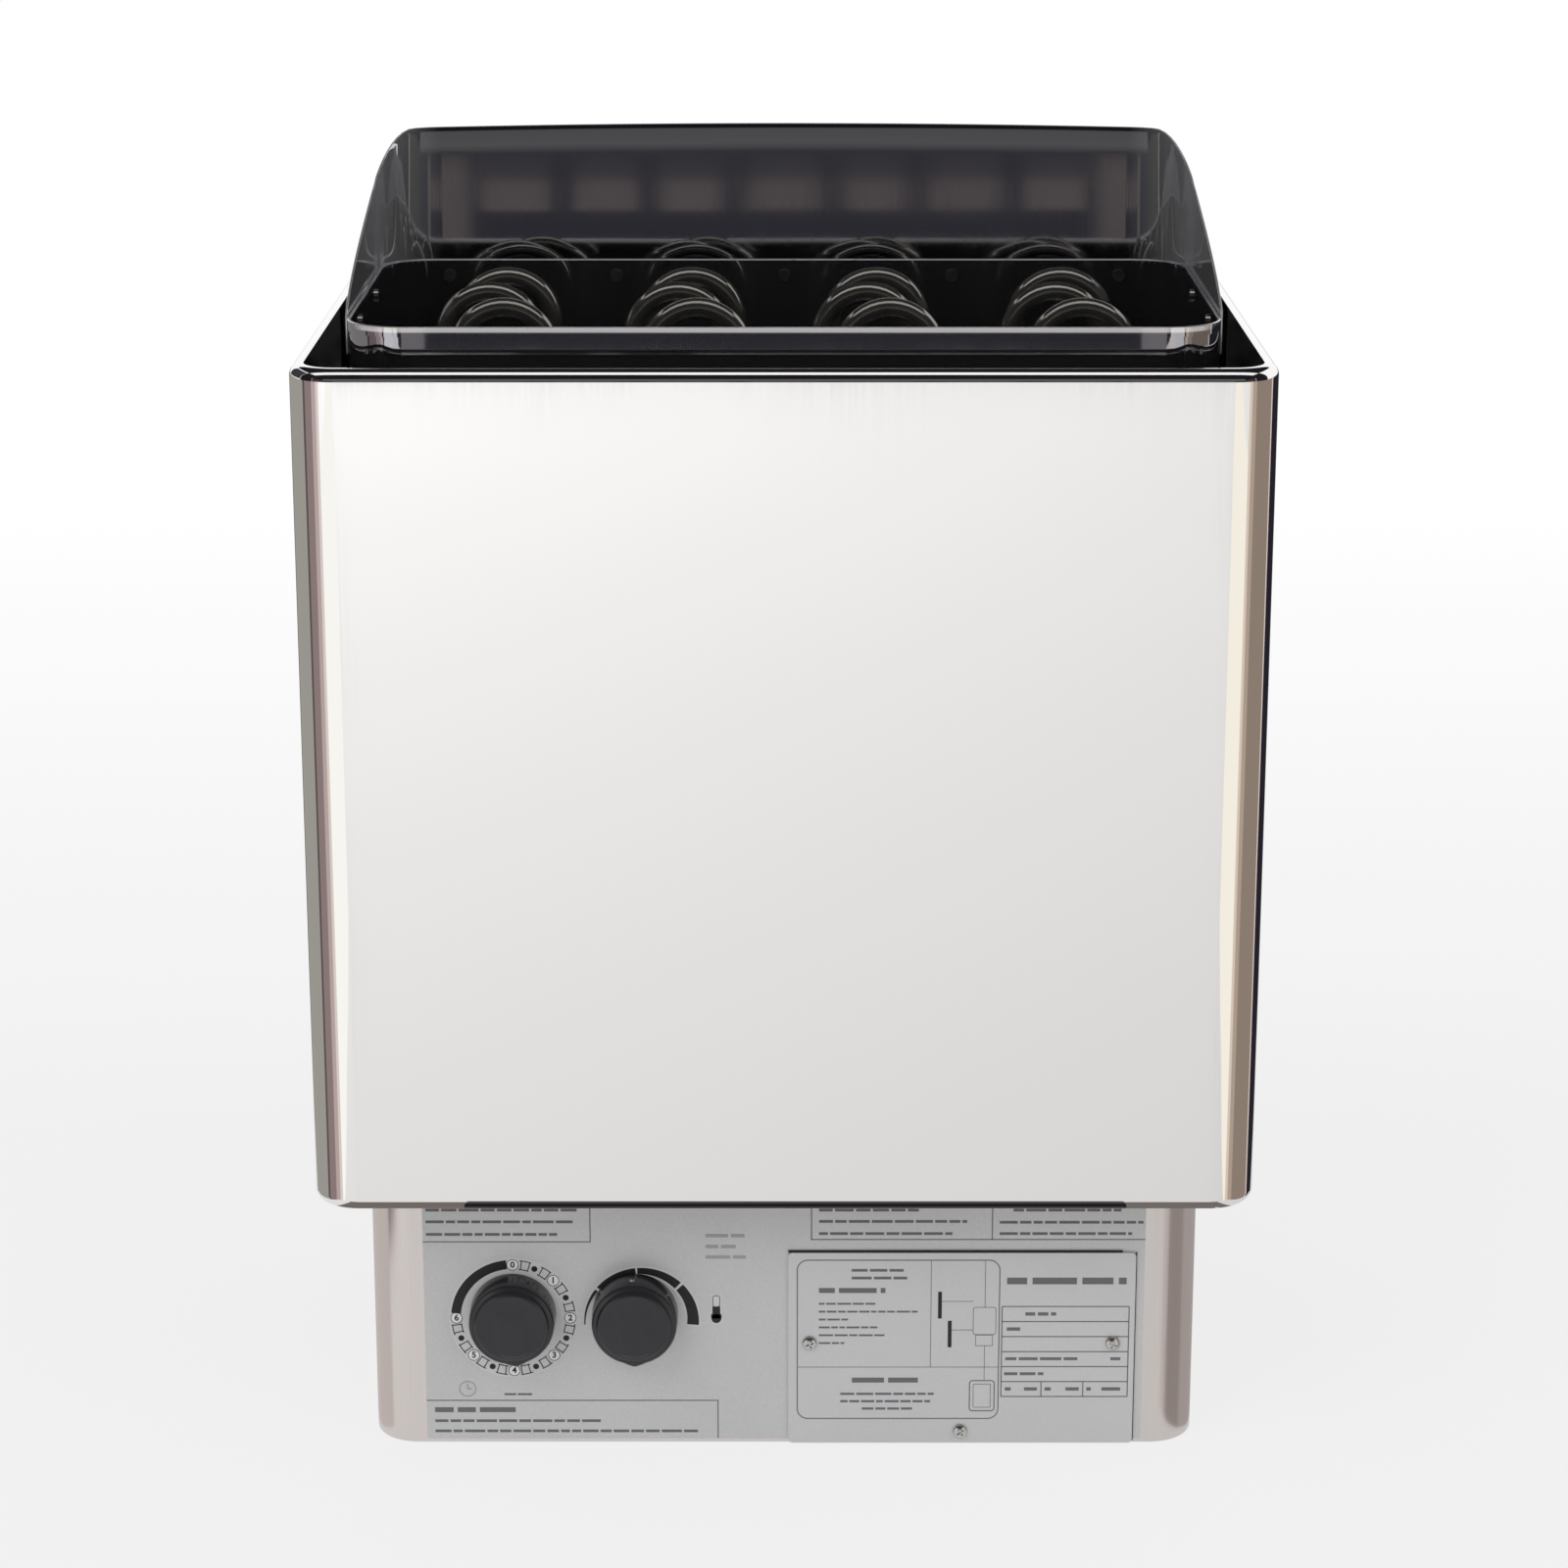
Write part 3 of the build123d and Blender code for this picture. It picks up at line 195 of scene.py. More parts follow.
def sheetSteel(name, tint, metal, rough, wave, film=None):
    # cold-rolled, polished stainless sheet: a clear mirror with faint rolling streaks and a slight wave,
    # and where a film is given, a paler patch of painted light, which takes some of the metal's share;
    # real streaks are finer, and are drawn 1.5 mm wide so that they show
    material, tree, place = startMaterial(name)
    colour, shine = tint, metal
    # painted light: a paler, less metallic patch within the film's bounds
    if film:
        colour, shine = dullPatch(tree, place, tint, metal, film)
    streaks = noise(tree, place, 1.5, detail=4, squeeze=0.03)
    smear = noise(tree, place, 70, detail=3)
    both = reckon(tree, "MULTIPLY", streaks, smear)
    gloss = remap(tree, both, rough * 0.7, rough * 1.4, start=0.1, end=0.45)
    swell = noise(tree, place, 120, detail=1)
    bump = addNode(tree, "Bump", {"Height": swell, "Strength": wave, "Distance": 4 * mm})
    finishMaterial(tree, {"Base Color": colour, "Metallic": shine, "Roughness": gloss,
                          "Normal": bump.outputs["Normal"]})
    return material


def satinSteel(name, dark, light, rough):
    # stainless sheet with a ground satin finish: upright hairlines and a soft sheen;
    # real hairlines are about 0.1 mm wide, and are drawn 0.8 mm wide so that they show
    material, tree, place = startMaterial(name)
    hairs = noise(tree, place, 0.8, detail=5, squeeze=0.02)
    gloss = remap(tree, hairs, rough * 0.8, rough * 1.3)
    bump = addNode(tree, "Bump", {"Height": hairs, "Strength": 0.12, "Distance": 0.2 * mm})
    finishMaterial(tree, {"Metallic": 1, "Base Color": blend(tree, hairs, dark, light), "Roughness": gloss,
                          "Normal": bump.outputs["Normal"]})
    return material


def zincSheet():
    # hot-dip zinc on steel: large pale crystals that catch the light one by one
    material, tree, place = startMaterial("galvanised steel, spangled")
    cells = addNode(tree, "TexVoronoi", {"Vector": place, "Scale": grain(9)}).outputs["Distance"]
    finishMaterial(tree, {"Metallic": 1, "Base Color": blend(tree, cells, "#a6a9ac", "#c8cacb"),
                          "Roughness": remap(tree, cells, 0.32, 0.5)})
    return material


def elementSheath():
    # drawn heat-resistant tube, annealed: a dull grey scale over metal, with a soft shine along it
    material, tree, place = startMaterial("nickel alloy tube, annealed")
    scale = noise(tree, place, 7, detail=5, squeeze=0.2)
    finishMaterial(tree, {"Metallic": 0.92, "Base Color": blend(tree, scale, "#7c7a74", "#9a9892"),
                          "Roughness": remap(tree, scale, 0.1, 0.17)})
    return material


def foilSheet(name, dark, light, rough):
    # thin anodised aluminium with a silver screen print: even, matt, with a faint fleck,
    # drawn 0.7 mm wide so that it shows
    material, tree, place = startMaterial(name)
    fleck = noise(tree, place, 0.7, detail=2)
    cloud = noise(tree, place, 60, detail=2)
    both = addNode(tree, "Mix", {0: 0.3, 2: fleck, 3: cloud}).outputs[0]
    colour = blend(tree, remap(tree, both, 0, 1, start=0.25, end=0.75), dark, light)
    finishMaterial(tree, {"Metallic": 0.35, "Roughness": rough, "Base Color": colour})
    return material


def turnedMetal(name, dark, light, rough):
    # small turned or plated metal part: bright, with a little tarnish in colour and shine
    material, tree, place = startMaterial(name)
    tarnish = noise(tree, place, 4, detail=4)
    finishMaterial(tree, {"Metallic": 1, "Base Color": blend(tree, tarnish, dark, light),
                          "Roughness": remap(tree, tarnish, rough * 0.7, rough * 1.4)})
    return material


def mouldedPlastic(name, dark, light, rough, texture):
    # moulded part: a fine spark-eroded texture that softens the shine, and slight flow marks;
    # the pits are drawn 0.35 mm wide, about four times the real size, so that they show
    material, tree, place = startMaterial(name)
    flow = noise(tree, place, 12, detail=3)
    pits = noise(tree, place, 0.35, detail=2)
    bump = addNode(tree, "Bump", {"Height": pits, "Strength": texture, "Distance": 0.1 * mm})
    finishMaterial(tree, {"Roughness": rough, "IOR": 1.5, "Base Color": blend(tree, flow, dark, light),
                          "Normal": bump.outputs["Normal"]})
    return material


def screenInk(name, dark, light):
    # screen-printed ink: a thin, matt, slightly uneven film
    material, tree, place = startMaterial(name)
    mottle = noise(tree, place, 0.9, detail=3)
    finishMaterial(tree, {"Roughness": 0.55, "Base Color": blend(tree, mottle, dark, light)})
    return material


finishes = {
    "casing_steel": sheetSteel("stainless steel, polished casing", "#f7f6f4", 1.0, 0.045, 0.05),
    # the box's film is a painted highlight: a near-white, less metallic band along the top of the front wall
    "box_steel": sheetSteel("stainless steel, heat-dulled box with painted rim highlight", "#b0b0b6", 0.98, 0.02, 0.05, {
        "bounds": [("Z", 507.6, 508.4), ("Y", -102, -108)], "colour": "#f4f0f0", "metal": 0.3}),
    # the hood's film is painted light: a paler, less metallic colour over the corners and wings that makes
    # them look lighter
    "hood_steel": sheetSteel("stainless steel, polished hood", "#c6c6c9", 1.0, 0.05, 0.06, {
        "bounds": [("absX", 158, 184)], "colour": "#cfcfd2", "metal": 0.76}),
    "zinc_steel": zincSheet(),
    "element_sheath": elementSheath(),
    "base_steel": satinSteel("stainless steel, satin base", "#dfd7d4", "#e8e1de", 0.2),
    "fascia_foil": foilSheet("anodised aluminium foil, printed", "#c8c8c9", "#d5d5d6", 0.42),
    "cover_plate": foilSheet("anodised aluminium plate, printed", "#cacacc", "#d7d7d8", 0.38),
    "screw_steel": turnedMetal("zinc-plated screw steel", "#bdbcba", "#dddcd9", 0.22),
    "brass": turnedMetal("brass, turned", "#b08d46", "#d3b468", 0.25),
    "copper": turnedMetal("copper, drawn", "#a9623c", "#cf8660", 0.3),
    "knob_plastic": mouldedPlastic("phenolic knob, moulded", "#212125", "#2a2a2e", 0.24, 0.06),
    "control_plastic": mouldedPlastic("polyamide, moulded", "#c9c3b4", "#d6d1c4", 0.45, 0.2),
    "reset_plastic": mouldedPlastic("polyamide, red moulded", "#9c1a16", "#b0241d", 0.35, 0.1),
    "block_ceramic": mouldedPlastic("steatite, pressed", "#dcd8cd", "#e8e5dd", 0.4, 0.2),
    "lead_silicone": mouldedPlastic("silicone rubber, extruded", "#7a3225", "#8c3d2e", 0.5, 0.1),
    "black_rubber": mouldedPlastic("rubber, moulded", "#1c1c1d", "#262627", 0.6, 0.25),
}
inks = {
    "black": screenInk("black screen ink", "#141416", "#212124"),
    "grey": screenInk("grey screen ink", "#636366", "#737376"),
    "pale": screenInk("pale grey screen ink", "#a3a1a1", "#aeacac"),
    "silver": screenInk("silver screen ink", "#d3d3d4", "#dcdcdd"),
    "light": screenInk("white screen ink", "#eeeeee", "#f9f9f9"),
}
for part in frame["record"]["subparts"]:
    paint(nodes[part["node"]], finishes[part["material_slot"]])
print("materials on", len(nodes), "nodes")


# Steam hood: one polished sheet bent round the back of the stone box, its free edge turned out a little

hood = {
    "half": 185 * mm,      # to the outside of each wing
    "rear": 80 * mm,       # to the outside of the back
    "tip": -84 * mm,       # front end of the wings
    "bottom": 494 * mm,
    "tipTop": 511 * mm,    # edge height at the tip, where the wing ends, and at the back
    "wingTop": 550 * mm,
    "wingCurve": 0.7,      # power of the wing's edge, below 1 for a steep start and a flatter end
    "top": 571.9 * mm,
    "crown": 2.0 * mm,     # how much higher the middle of the back is
    "corner": 26 * mm,
    "shoulder": 30 * mm,   # run over which the edge rounds up from the wing to the back
    "flare": 0.6 * mm,     # how far the edge turns out, over the lip's height
    "lip": 10 * mm,
    "lean": 4 * mm,        # how far the top of the back leans out, from the box's rim upwards
    "bow": 0.4,            # share of that lean that comes as a curve
    "rim": 510 * mm,
    "sheet": 1 * mm,
    "curl": 1.3,           # power of the turned-out lip's curve
    "crowd": 0.7,          # power that crowds the sheet's rows towards its free edge
    "along": 220,          # faces along the sheet, and up it
    "up": 18,
    "rounding": 0.35,      # of the free edge, as a share of the sheet
}


def hoodPath(run):
    # place on the U-shaped plan, and the way out, at this run from the left tip
    straight = hood["rear"] - hood["corner"] - hood["tip"]
    bend = hood["corner"] * math.pi / 2
    back = 2 * (hood["half"] - hood["corner"])
    side = -1
    if run > straight + bend + back / 2:
        run = 2 * (straight + bend) + back - run
        side = 1
    if run < straight:
        return Vector((side * hood["half"], hood["tip"] + run, 0)), Vector((side, 0, 0))
    if run < straight + bend:
        turn = (run - straight) / hood["corner"]
        way = Vector((side * math.cos(turn), math.sin(turn), 0))
        middle = Vector((side * (hood["half"] - hood["corner"]), hood["rear"] - hood["corner"], 0))
        return middle + way * hood["corner"], way
    x = hood["half"] - hood["corner"] - (run - straight - bend)
    return Vector((side * x, hood["rear"], 0)), Vector((0, 1, 0))


def hoodEdge(run, total):
    # height of the free edge: up the wing in a curve, rounded on to the back, which is slightly crowned
    run = min(run, total - run)
    wing = hood["rear"] - hood["corner"] - hood["tip"]
    climb = hood["wingTop"] - hood["tipTop"]
    if run < wing:
        return hood["tipTop"] + climb * (run / wing) ** hood["wingCurve"]
    share = min((run - wing) / hood["shoulder"], 1)
    slope = hood["wingCurve"] * climb / wing
    rounded = slope * hood["shoulder"] * share * (1 - share) ** 2
    rounded += (hood["top"] - hood["crown"] - hood["wingTop"]) * share ** 2 * (3 - 2 * share)
    inward = max(run - wing - hood["shoulder"], 0) / (total / 2 - wing - hood["shoulder"])
    return hood["wingTop"] + rounded + hood["crown"] * (1 - (1 - inward) ** 2)


def makeHood():
    deselect()
    bpy.ops.mesh.primitive_grid_add(x_subdivisions=hood["along"], y_subdivisions=hood["up"], size=1)
    sheet = bpy.context.object
    sheet.name = "hood_sheet"
    total = 2 * (hood["rear"] - hood["corner"] - hood["tip"]) + math.pi * hood["corner"]
    total += 2 * (hood["half"] - hood["corner"])
    for point in sheet.data.vertices:
        across, up = point.co.x + 0.5, 0.5 - point.co.y
        run = across * total
        edge = hoodEdge(run, total)
        z = hood["bottom"] + (edge - hood["bottom"]) * (1 - up) ** hood["crowd"]
        spot, way = hoodPath(run)
        turned = max(0, 1 - (edge - z) / hood["lip"]) ** hood["curl"]
        spot += way * (hood["flare"] * turned * max(0, way.y) ** 2 - hood["sheet"] / 2)
        rise = max(0, (z - hood["rim"]) / (hood["top"] - hood["rim"]))
        spot.y += hood["lean"] * max(0, way.y) * (rise * (1 - hood["bow"]) + rise ** 2 * hood["bow"])
        point.co = (spot.x, spot.y, z)
    outward(sheet)
    thicken(sheet, hood["sheet"], 0)
    soften = sheet.modifiers.new("edge", "BEVEL")
    soften.width = hood["sheet"] * hood["rounding"]
    soften.segments = 3
    soften.limit_method = "ANGLE"
    soften.angle_limit = math.radians(50)
    bpy.ops.object.modifier_apply(modifier=soften.name)
    smooth(sheet, 40)
    paint(sheet, finishes["hood_steel"])
    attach(sheet, "heater")
    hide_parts("steam_hood")


makeHood()
print("hood made")


# Rim of the stone box: the sheet's folded edge is a thin bright bead all round

rimBead = {"inset": 1.0 * mm, "drop": 0.7 * mm, "radius": 1.0 * mm, "corner": 24.0 * mm, "cornerFaces": 14}


def makeRimBead():
    deselect()
    low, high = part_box("stone_box")
    middle = (low + high) / 2
    bpy.ops.mesh.primitive_plane_add(size=1, location=(middle.x, middle.y, high.z - rimBead["drop"]))
    bead = bpy.context.object
    bead.name = "stone_box_rim"
    bead.scale = (high.x - low.x - 2 * rimBead["inset"], high.y - low.y - 2 * rimBead["inset"], 1)
    apply(bead)
    editAll(bead)
    bpy.ops.mesh.bevel(offset=rimBead["corner"], segments=rimBead["cornerFaces"], affect="VERTICES")
    bpy.ops.mesh.delete(type="ONLY_FACE")
    leaveEdit()
    bpy.ops.object.convert(target="CURVE")
    bead = bpy.context.object
    bead.data.bevel_depth = rimBead["radius"]
    bead.data.bevel_resolution = 4
    bpy.ops.object.convert(target="MESH")
    bead = bpy.context.object
    bpy.ops.object.shade_smooth()
    paint(bead, turnedMetal("stainless steel, sheared edge", "#e2e1e1", "#f6f5f5", 0.3))
    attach(bead, "heater")


makeRimBead()
print("rim made")


# Small turned pieces and prints are drawn flat, facing +Z, and then stood up against the front

faces = {"fascia_foil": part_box("fascia_plate")[0].y, "cover_plate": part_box("terminal_cover")[0].y}


def standUp(piece, place, clockwise=0):
    piece.rotation_euler = (math.radians(90), math.radians(clockwise), 0)
    piece.location = place
    apply(piece)


def turnedPiece(name, rings, sides):
    # a disc drawn up ring by ring, as on a lathe; each ring is a radius and a height in millimetres
    deselect()
    radius, height = rings[0]
    bpy.ops.mesh.primitive_circle_add(vertices=sides, radius=radius * mm, fill_type="NGON",
                                      location=(0, 0, height * mm))
    piece = bpy.context.object
    piece.name = name
    apply(piece)
    editAll(piece)
    for nextRadius, nextHeight in rings[1:]:
        rise = (0, 0, (nextHeight - height) * mm)
        share = nextRadius / radius
        bpy.ops.mesh.extrude_region_move(TRANSFORM_OT_translate={"value": rise})
        bpy.ops.transform.resize(value=(share, share, 1), center_override=(0, 0, nextHeight * mm))
        radius, height = nextRadius, nextHeight
    leaveEdit()
    outward(piece)
    return piece


# Knobs: a tapered skirt, a rounded ledge, a raised face with a soft grip bar, and a small pointer nib

knob = {
    "skirt": [(19.2, 0), (19.2, 0.5), (19.1, 7), (18.95, 12.2), (18.75, 13.0), (18.3, 13.6), (17.6, 13.9)],
    "step": [(16.9, 13.95), (16.7, 14.1), (16.6, 14.4), (16.45, 14.9), (16.1, 15.4), (15.5, 15.75),
             (14.8, 15.95)],
    "faceRings": 26,
    "faceTop": 16.3,
    "gripHalf": 4.6,       # half width of the bar's top, then the width of its slope
    "gripSlope": 3.6,
    "gripEnd": 2.0,        # where the bar starts to fall away upwards, and over what length
    "gripFall": 9.0,
    "gripHeight": 0.8,
    "gripRim": 1.6,        # width over which the bar dies away at the face's edge
    "nibHalf": 4.9,
    "nibReach": 1.2,
    "nibFrom": 1.5,        # height at which the nib starts
    "sides": 144,
    "back": -101.6,
    "height": 63.8,
    "timerX": -121.2,
    "thermostatX": -66.6,
    "timerTurn": -6,       # degrees clockwise from straight down, as in the photograph
}


def smoothStep(low, high, value):
    share = min(max((value - low) / (high - low), 0), 1)
    return share * share * (3 - 2 * share)


def makeKnob(name, x, clockwise, body, node):
    rings = knob["skirt"] + knob["step"]
    edge, level = rings[-1]
    for n in range(1, knob["faceRings"]):
        share = 1 - n / knob["faceRings"]
        rings = rings + [(edge * share, level + (knob["faceTop"] - level) * (1 - share ** 2))]
    piece = turnedPiece(name, rings, knob["sides"])
    outer = knob["skirt"][-1][0] * mm
    for point in piece.data.vertices:
        reach = math.hypot(point.co.x, point.co.y)
        if reach < edge * mm:
            across = abs(point.co.x) / mm
            bar = 1 - smoothStep(knob["gripHalf"], knob["gripHalf"] + knob["gripSlope"], across)
            bar *= 1 - smoothStep(knob["gripEnd"], knob["gripEnd"] + knob["gripFall"], point.co.y / mm)
            rim = 1 - smoothStep(edge - knob["gripRim"], edge, reach / mm)
            point.co.z += knob["gripHeight"] * mm * bar * rim
        elif reach > outer and point.co.z > knob["nibFrom"] * mm and point.co.y < 0:
            run = abs(math.atan2(point.co.x, -point.co.y)) * reach / mm
            push = 1 + knob["nibReach"] * mm * max(0, 1 - run / knob["nibHalf"]) / reach
            point.co.x *= push
            point.co.y *= push
    smooth(piece, 38)
    standUp(piece, (x * mm, knob["back"] * mm, knob["height"] * mm), clockwise)
    paint(piece, finishes["knob_plastic"])
    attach(piece, body)
    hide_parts(node)


makeKnob("timer_knob_cap", knob["timerX"], knob["timerTurn"], "timer_dial", "timer_knob")
makeKnob("thermostat_knob_cap", knob["thermostatX"], 0, "thermostat_dial", "thermostat_knob")
print("knobs made")


# Set screw in the skirt of the thermostat knob

setScrew = {"rings": [(1.15, 0), (1.15, 1.0), (1.0, 1.25), (0.62, 1.3), (0.55, 0.8)],
            "seat": 18.25, "depth": 7.4, "x": -0.9, "sides": 24}


def makeSetScrew():
    piece = turnedPiece("thermostat_set_screw", setScrew["rings"], setScrew["sides"])
    smooth(piece, 40)
    piece.location = ((knob["thermostatX"] + setScrew["x"]) * mm,
                      (knob["back"] - setScrew["depth"]) * mm,
                      (knob["height"] + setScrew["seat"]) * mm)
    apply(piece)
    paint(piece, finishes["screw_steel"])
    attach(piece, "thermostat_dial")


makeSetScrew()


# Cover screws: domed heads with a cross recess

coverScrew = {
    "rings": [(1.6, -6), (1.6, 0), (3.3, 0.02), (3.3, 0.5), (3.12, 1.05), (2.65, 1.6), (1.95, 1.98),
              (1.0, 2.2)],
    "sides": 40,
    "slotWidth": 0.75,
    "slotLength": 3.6,
    "slotDepth": 1.1,
    "places": [(11.5, 49.7, 20), (147.4, 49.7, 65), (79.45, 6.8, 38)],   # x, z and turn of the cross
}


def makeCoverScrews():
    heads = []
    top = coverScrew["rings"][-1][1]
    slot = (coverScrew["slotLength"] * mm, coverScrew["slotWidth"] * mm, 2 * coverScrew["slotDepth"] * mm)
    for x, z, turn in coverScrew["places"]:
        head = turnedPiece("cover_screw", coverScrew["rings"], coverScrew["sides"])
        for quarter in (0, 90):
            deselect()
            bpy.ops.mesh.primitive_cube_add(size=1, location=(0, 0, top * mm))
            cutter = bpy.context.object
            cutter.scale = slot
            cutter.rotation_euler = (0, 0, math.radians(quarter + turn))
            apply(cutter)
            only(head)
            recess = head.modifiers.new("cross", "BOOLEAN")
            recess.object = cutter
            recess.operation = "DIFFERENCE"
            recess.solver = "EXACT"
            bpy.ops.object.modifier_apply(modifier=recess.name)
            bpy.data.objects.remove(cutter, do_unlink=True)
        smooth(head, 35)
        standUp(head, (x * mm, faces["cover_plate"], z * mm))
        heads.append(head)
    screws = joinAll(heads, "cover_screw_heads")
    paint(screws, finishes["screw_steel"])
    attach(screws, "heater")
    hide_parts("cover_screws")


makeCoverScrews()
print("screws made")


# Printing on the fascia and the cover: each mark is a thin film of ink, in millimetres of x and height

inkFilm = {"ground": 0.03, "note": 0.06, "cell": 0.08, "line": 0.1, "mark": 0.12}   # a later print is thicker
dash = {"short": 1.6, "long": 4.2, "stretch": 1.7, "gap": 0.75,   # lengths, as shares of the dash's height
        "least": 1.5}      # millimetres left in a row, below which no dash is added


def inkPatch(x0, x1, z0, z1):
    deselect()
    bpy.ops.mesh.primitive_plane_add(size=mm, location=((x0 + x1) / 2 * mm, (z0 + z1) / 2 * mm, 0))
    piece = bpy.context.object
    piece.scale = (x1 - x0, z1 - z0, 1)
    apply(piece)
    return piece


def inkDisc(x, z, radius, sides=40):
    deselect()
    bpy.ops.mesh.primitive_circle_add(vertices=sides, radius=radius * mm, fill_type="NGON",
                                      location=(x * mm, z * mm, 0))
    apply(bpy.context.object)
    return bpy.context.object


def hollowOut(piece, line):
    # keeps only a border of this width
    editAll(piece)
    bpy.ops.mesh.inset(thickness=line * mm)
    bpy.ops.mesh.delete(type="FACE")
    leaveEdit()
    return piece


def inkFrame(x0, x1, z0, z1, line, corner=0):
    piece = inkPatch(x0, x1, z0, z1)
    if corner:
        editAll(piece)
        bpy.ops.mesh.bevel(offset=corner * mm, segments=8, affect="VERTICES")
        leaveEdit()
    return hollowOut(piece, line)


def inkArc(x, z, inner, outer, start, end):
    # a band between two radii, from one angle to another, in degrees clockwise from the top
    deselect()
    bpy.ops.mesh.primitive_plane_add(size=1)
    piece = bpy.context.object
    bpy.ops.object.mode_set(mode="EDIT")
    bpy.ops.mesh.select_mode(type="VERT")
    bpy.ops.mesh.select_all(action="DESELECT")
    leaveEdit()
    for point in piece.data.vertices:
        point.select = point.co.x > 0
    bpy.ops.object.mode_set(mode="EDIT")
    bpy.ops.mesh.delete(type="VERT")
    leaveEdit()
    turn = math.radians(start)
    for point, reach in zip(piece.data.vertices, (inner, outer)):
        point.co = (reach * mm * math.sin(turn), reach * mm * math.cos(turn), 0)
    editAll(piece)
    steps = max(3, round((end - start) / 4))    # a face every 4 degrees, and three at least
    bpy.ops.mesh.spin(steps=steps, angle=math.radians(end - start), center=(0, 0, 0), axis=(0, 0, 1))
    leaveEdit()
    piece.location = (x * mm, z * mm, 0)
    apply(piece)
    return piece


def inkDigit(text, x, z, height):
    deselect()
    bpy.ops.object.text_add(location=(x * mm, z * mm, 0))
    piece = bpy.context.object
    piece.data.body = text
    piece.data.size = height * mm * 1.4     # capitals are about 0.7 of the type size
    piece.data.offset = 0.11 * mm           # bolder strokes
    piece.data.align_x = "CENTER"
    piece.data.align_y = "CENTER"
    piece.data.resolution_u = 3
    bpy.ops.object.convert(target="MESH")
    apply(bpy.context.object)
    return bpy.context.object


def inkRow(x0, x1, z, height, words):
    # a row of plain dashes of uneven length
    marks = []
    x = x0
    while x < x1 - dash["least"]:
        end = min(x + words.uniform(dash["short"], dash["long"]) * height * dash["stretch"], x1)
        marks.append(inkPatch(x, end, z - height / 2, z + height / 2))
        x = end + height * dash["gap"]
    return marks


def lay(name, marks, ink, film, slotName="fascia_foil"):
    # one print from all the marks of one ink, on the plate that the slot names
    piece = joinAll(marks, name)
    editAll(piece)
    bpy.ops.mesh.remove_doubles(threshold=0.001 * mm)
    leaveEdit()
    for panel in piece.data.polygons:
        if panel.normal.z < 0:
            panel.flip()
    thicken(piece, inkFilm[film] * mm, 1)
    standUp(piece, (0, faces[slotName], 0))
    paint(piece, inks[ink])
    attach(piece, "heater")


# Timer dial: numbers 0 to 6 in small rings, dots at the halves, and a black band over the waiting hours

timerDial = {
    "x": -121.2,
    "z": 61.3,
    "outer": 27.9,
    "inner": 23.3,
    "middle": 25.5,        # circle that the numbers and dots lie on
    "ring": 2.7,
    "ringLine": 0.3,
    "dot": 1.35,
    "digit": 2.9,
    "numbers": 7,
    "pitch": 45,
    "band": (275, 354),    # black band, in degrees clockwise from the top
    "cellStarts": (6.5, 27.5),   # degrees past each number, and then a cell's length
    "cell": 11,
    "sideInset": 1.5,
    "side": 1.0,
    "line": 0.45,
    "inset": 0.3,
    "ground": 19.6,        # inside of the pale ground, and its margin outside
    "margin": 0.9,
}


def timerSpot(degrees):
    turn = math.radians(degrees)
    dial = timerDial
    return dial["x"] + dial["middle"] * math.sin(turn), dial["z"] + dial["middle"] * math.cos(turn)


def printTimerDial():
    dial = timerDial
    x, z, inner, outer, inset = dial["x"], dial["z"], dial["inner"], dial["outer"], dial["inset"]
    silver = [inkArc(x, z, dial["ground"], outer + dial["margin"], 0, 360)]
    black = [inkArc(x, z, inner + inset, outer, *dial["band"])]
    lines = []
    discs = []
    for n in range(dial["numbers"]):
        turn = n * dial["pitch"]
        spot = timerSpot(turn)
        discs.append(inkDisc(*spot, dial["ring"]))
        lines.append(hollowOut(inkDisc(*spot, dial["ring"]), dial["ringLine"]))
        black.append(inkDigit(str(n), *spot, dial["digit"]))
        if n == dial["numbers"] - 1:
            continue
        black.append(inkDisc(*timerSpot(turn + dial["pitch"] / 2), dial["dot"]))
        for offset in dial["cellStarts"]:
            start = turn + offset
            end = start + dial["cell"]
            for reach in (inner, outer - dial["line"]):
                lines.append(inkArc(x, z, reach, reach + dial["line"], start, end))
            for edge in (start + dial["sideInset"], end - dial["sideInset"]):
                lines.append(inkArc(x, z, inner + inset, outer - inset, edge, edge + dial["side"]))
    lay("timer_dial_ground", silver, "silver", "ground")
    lay("timer_dial_rings", discs, "light", "cell")
    lay("timer_dial_lines", lines, "black", "line")
    lay("timer_dial_marks", black, "black", "mark")


# Thermostat dial: a crescent that thickens clockwise, in four parts

heatDial = {"x": -63.8, "z": 59.7, "outer": 25.7, "thin": 0.45, "thick": 5.3, "innerStart": 18,
            "spans": [(-94, -53.5), (-50.5, -6), (-4, 43.5), (46.5, 94)],
            "grow": 0.8, "overlap": 2, "knobGround": 20.2, "knobGroundZ": 62.3, "knobSides": 72}


def crescent(start, end, grow):
    dial = heatDial
    first, last = dial["spans"][0][0], dial["spans"][-1][1]
    band = inkArc(dial["x"], dial["z"], dial["innerStart"], dial["outer"] + grow, start, end)
    for point in band.data.vertices:
        across, up = point.co.x / mm - dial["x"], point.co.y / mm - dial["z"]
        if math.hypot(across, up) > dial["innerStart"] + 0.5:
            continue
        # move the inner edge out, so that the band grows evenly from its thin end to its thick one
        turn = math.atan2(across, up)
        share = (math.degrees(turn) - first) / (last - first)
        reach = dial["outer"] - dial["thin"] - (dial["thick"] - dial["thin"]) * share - grow
        point.co.x = (dial["x"] + reach * math.sin(turn)) * mm
        point.co.y = (dial["z"] + reach * math.cos(turn)) * mm
    return band


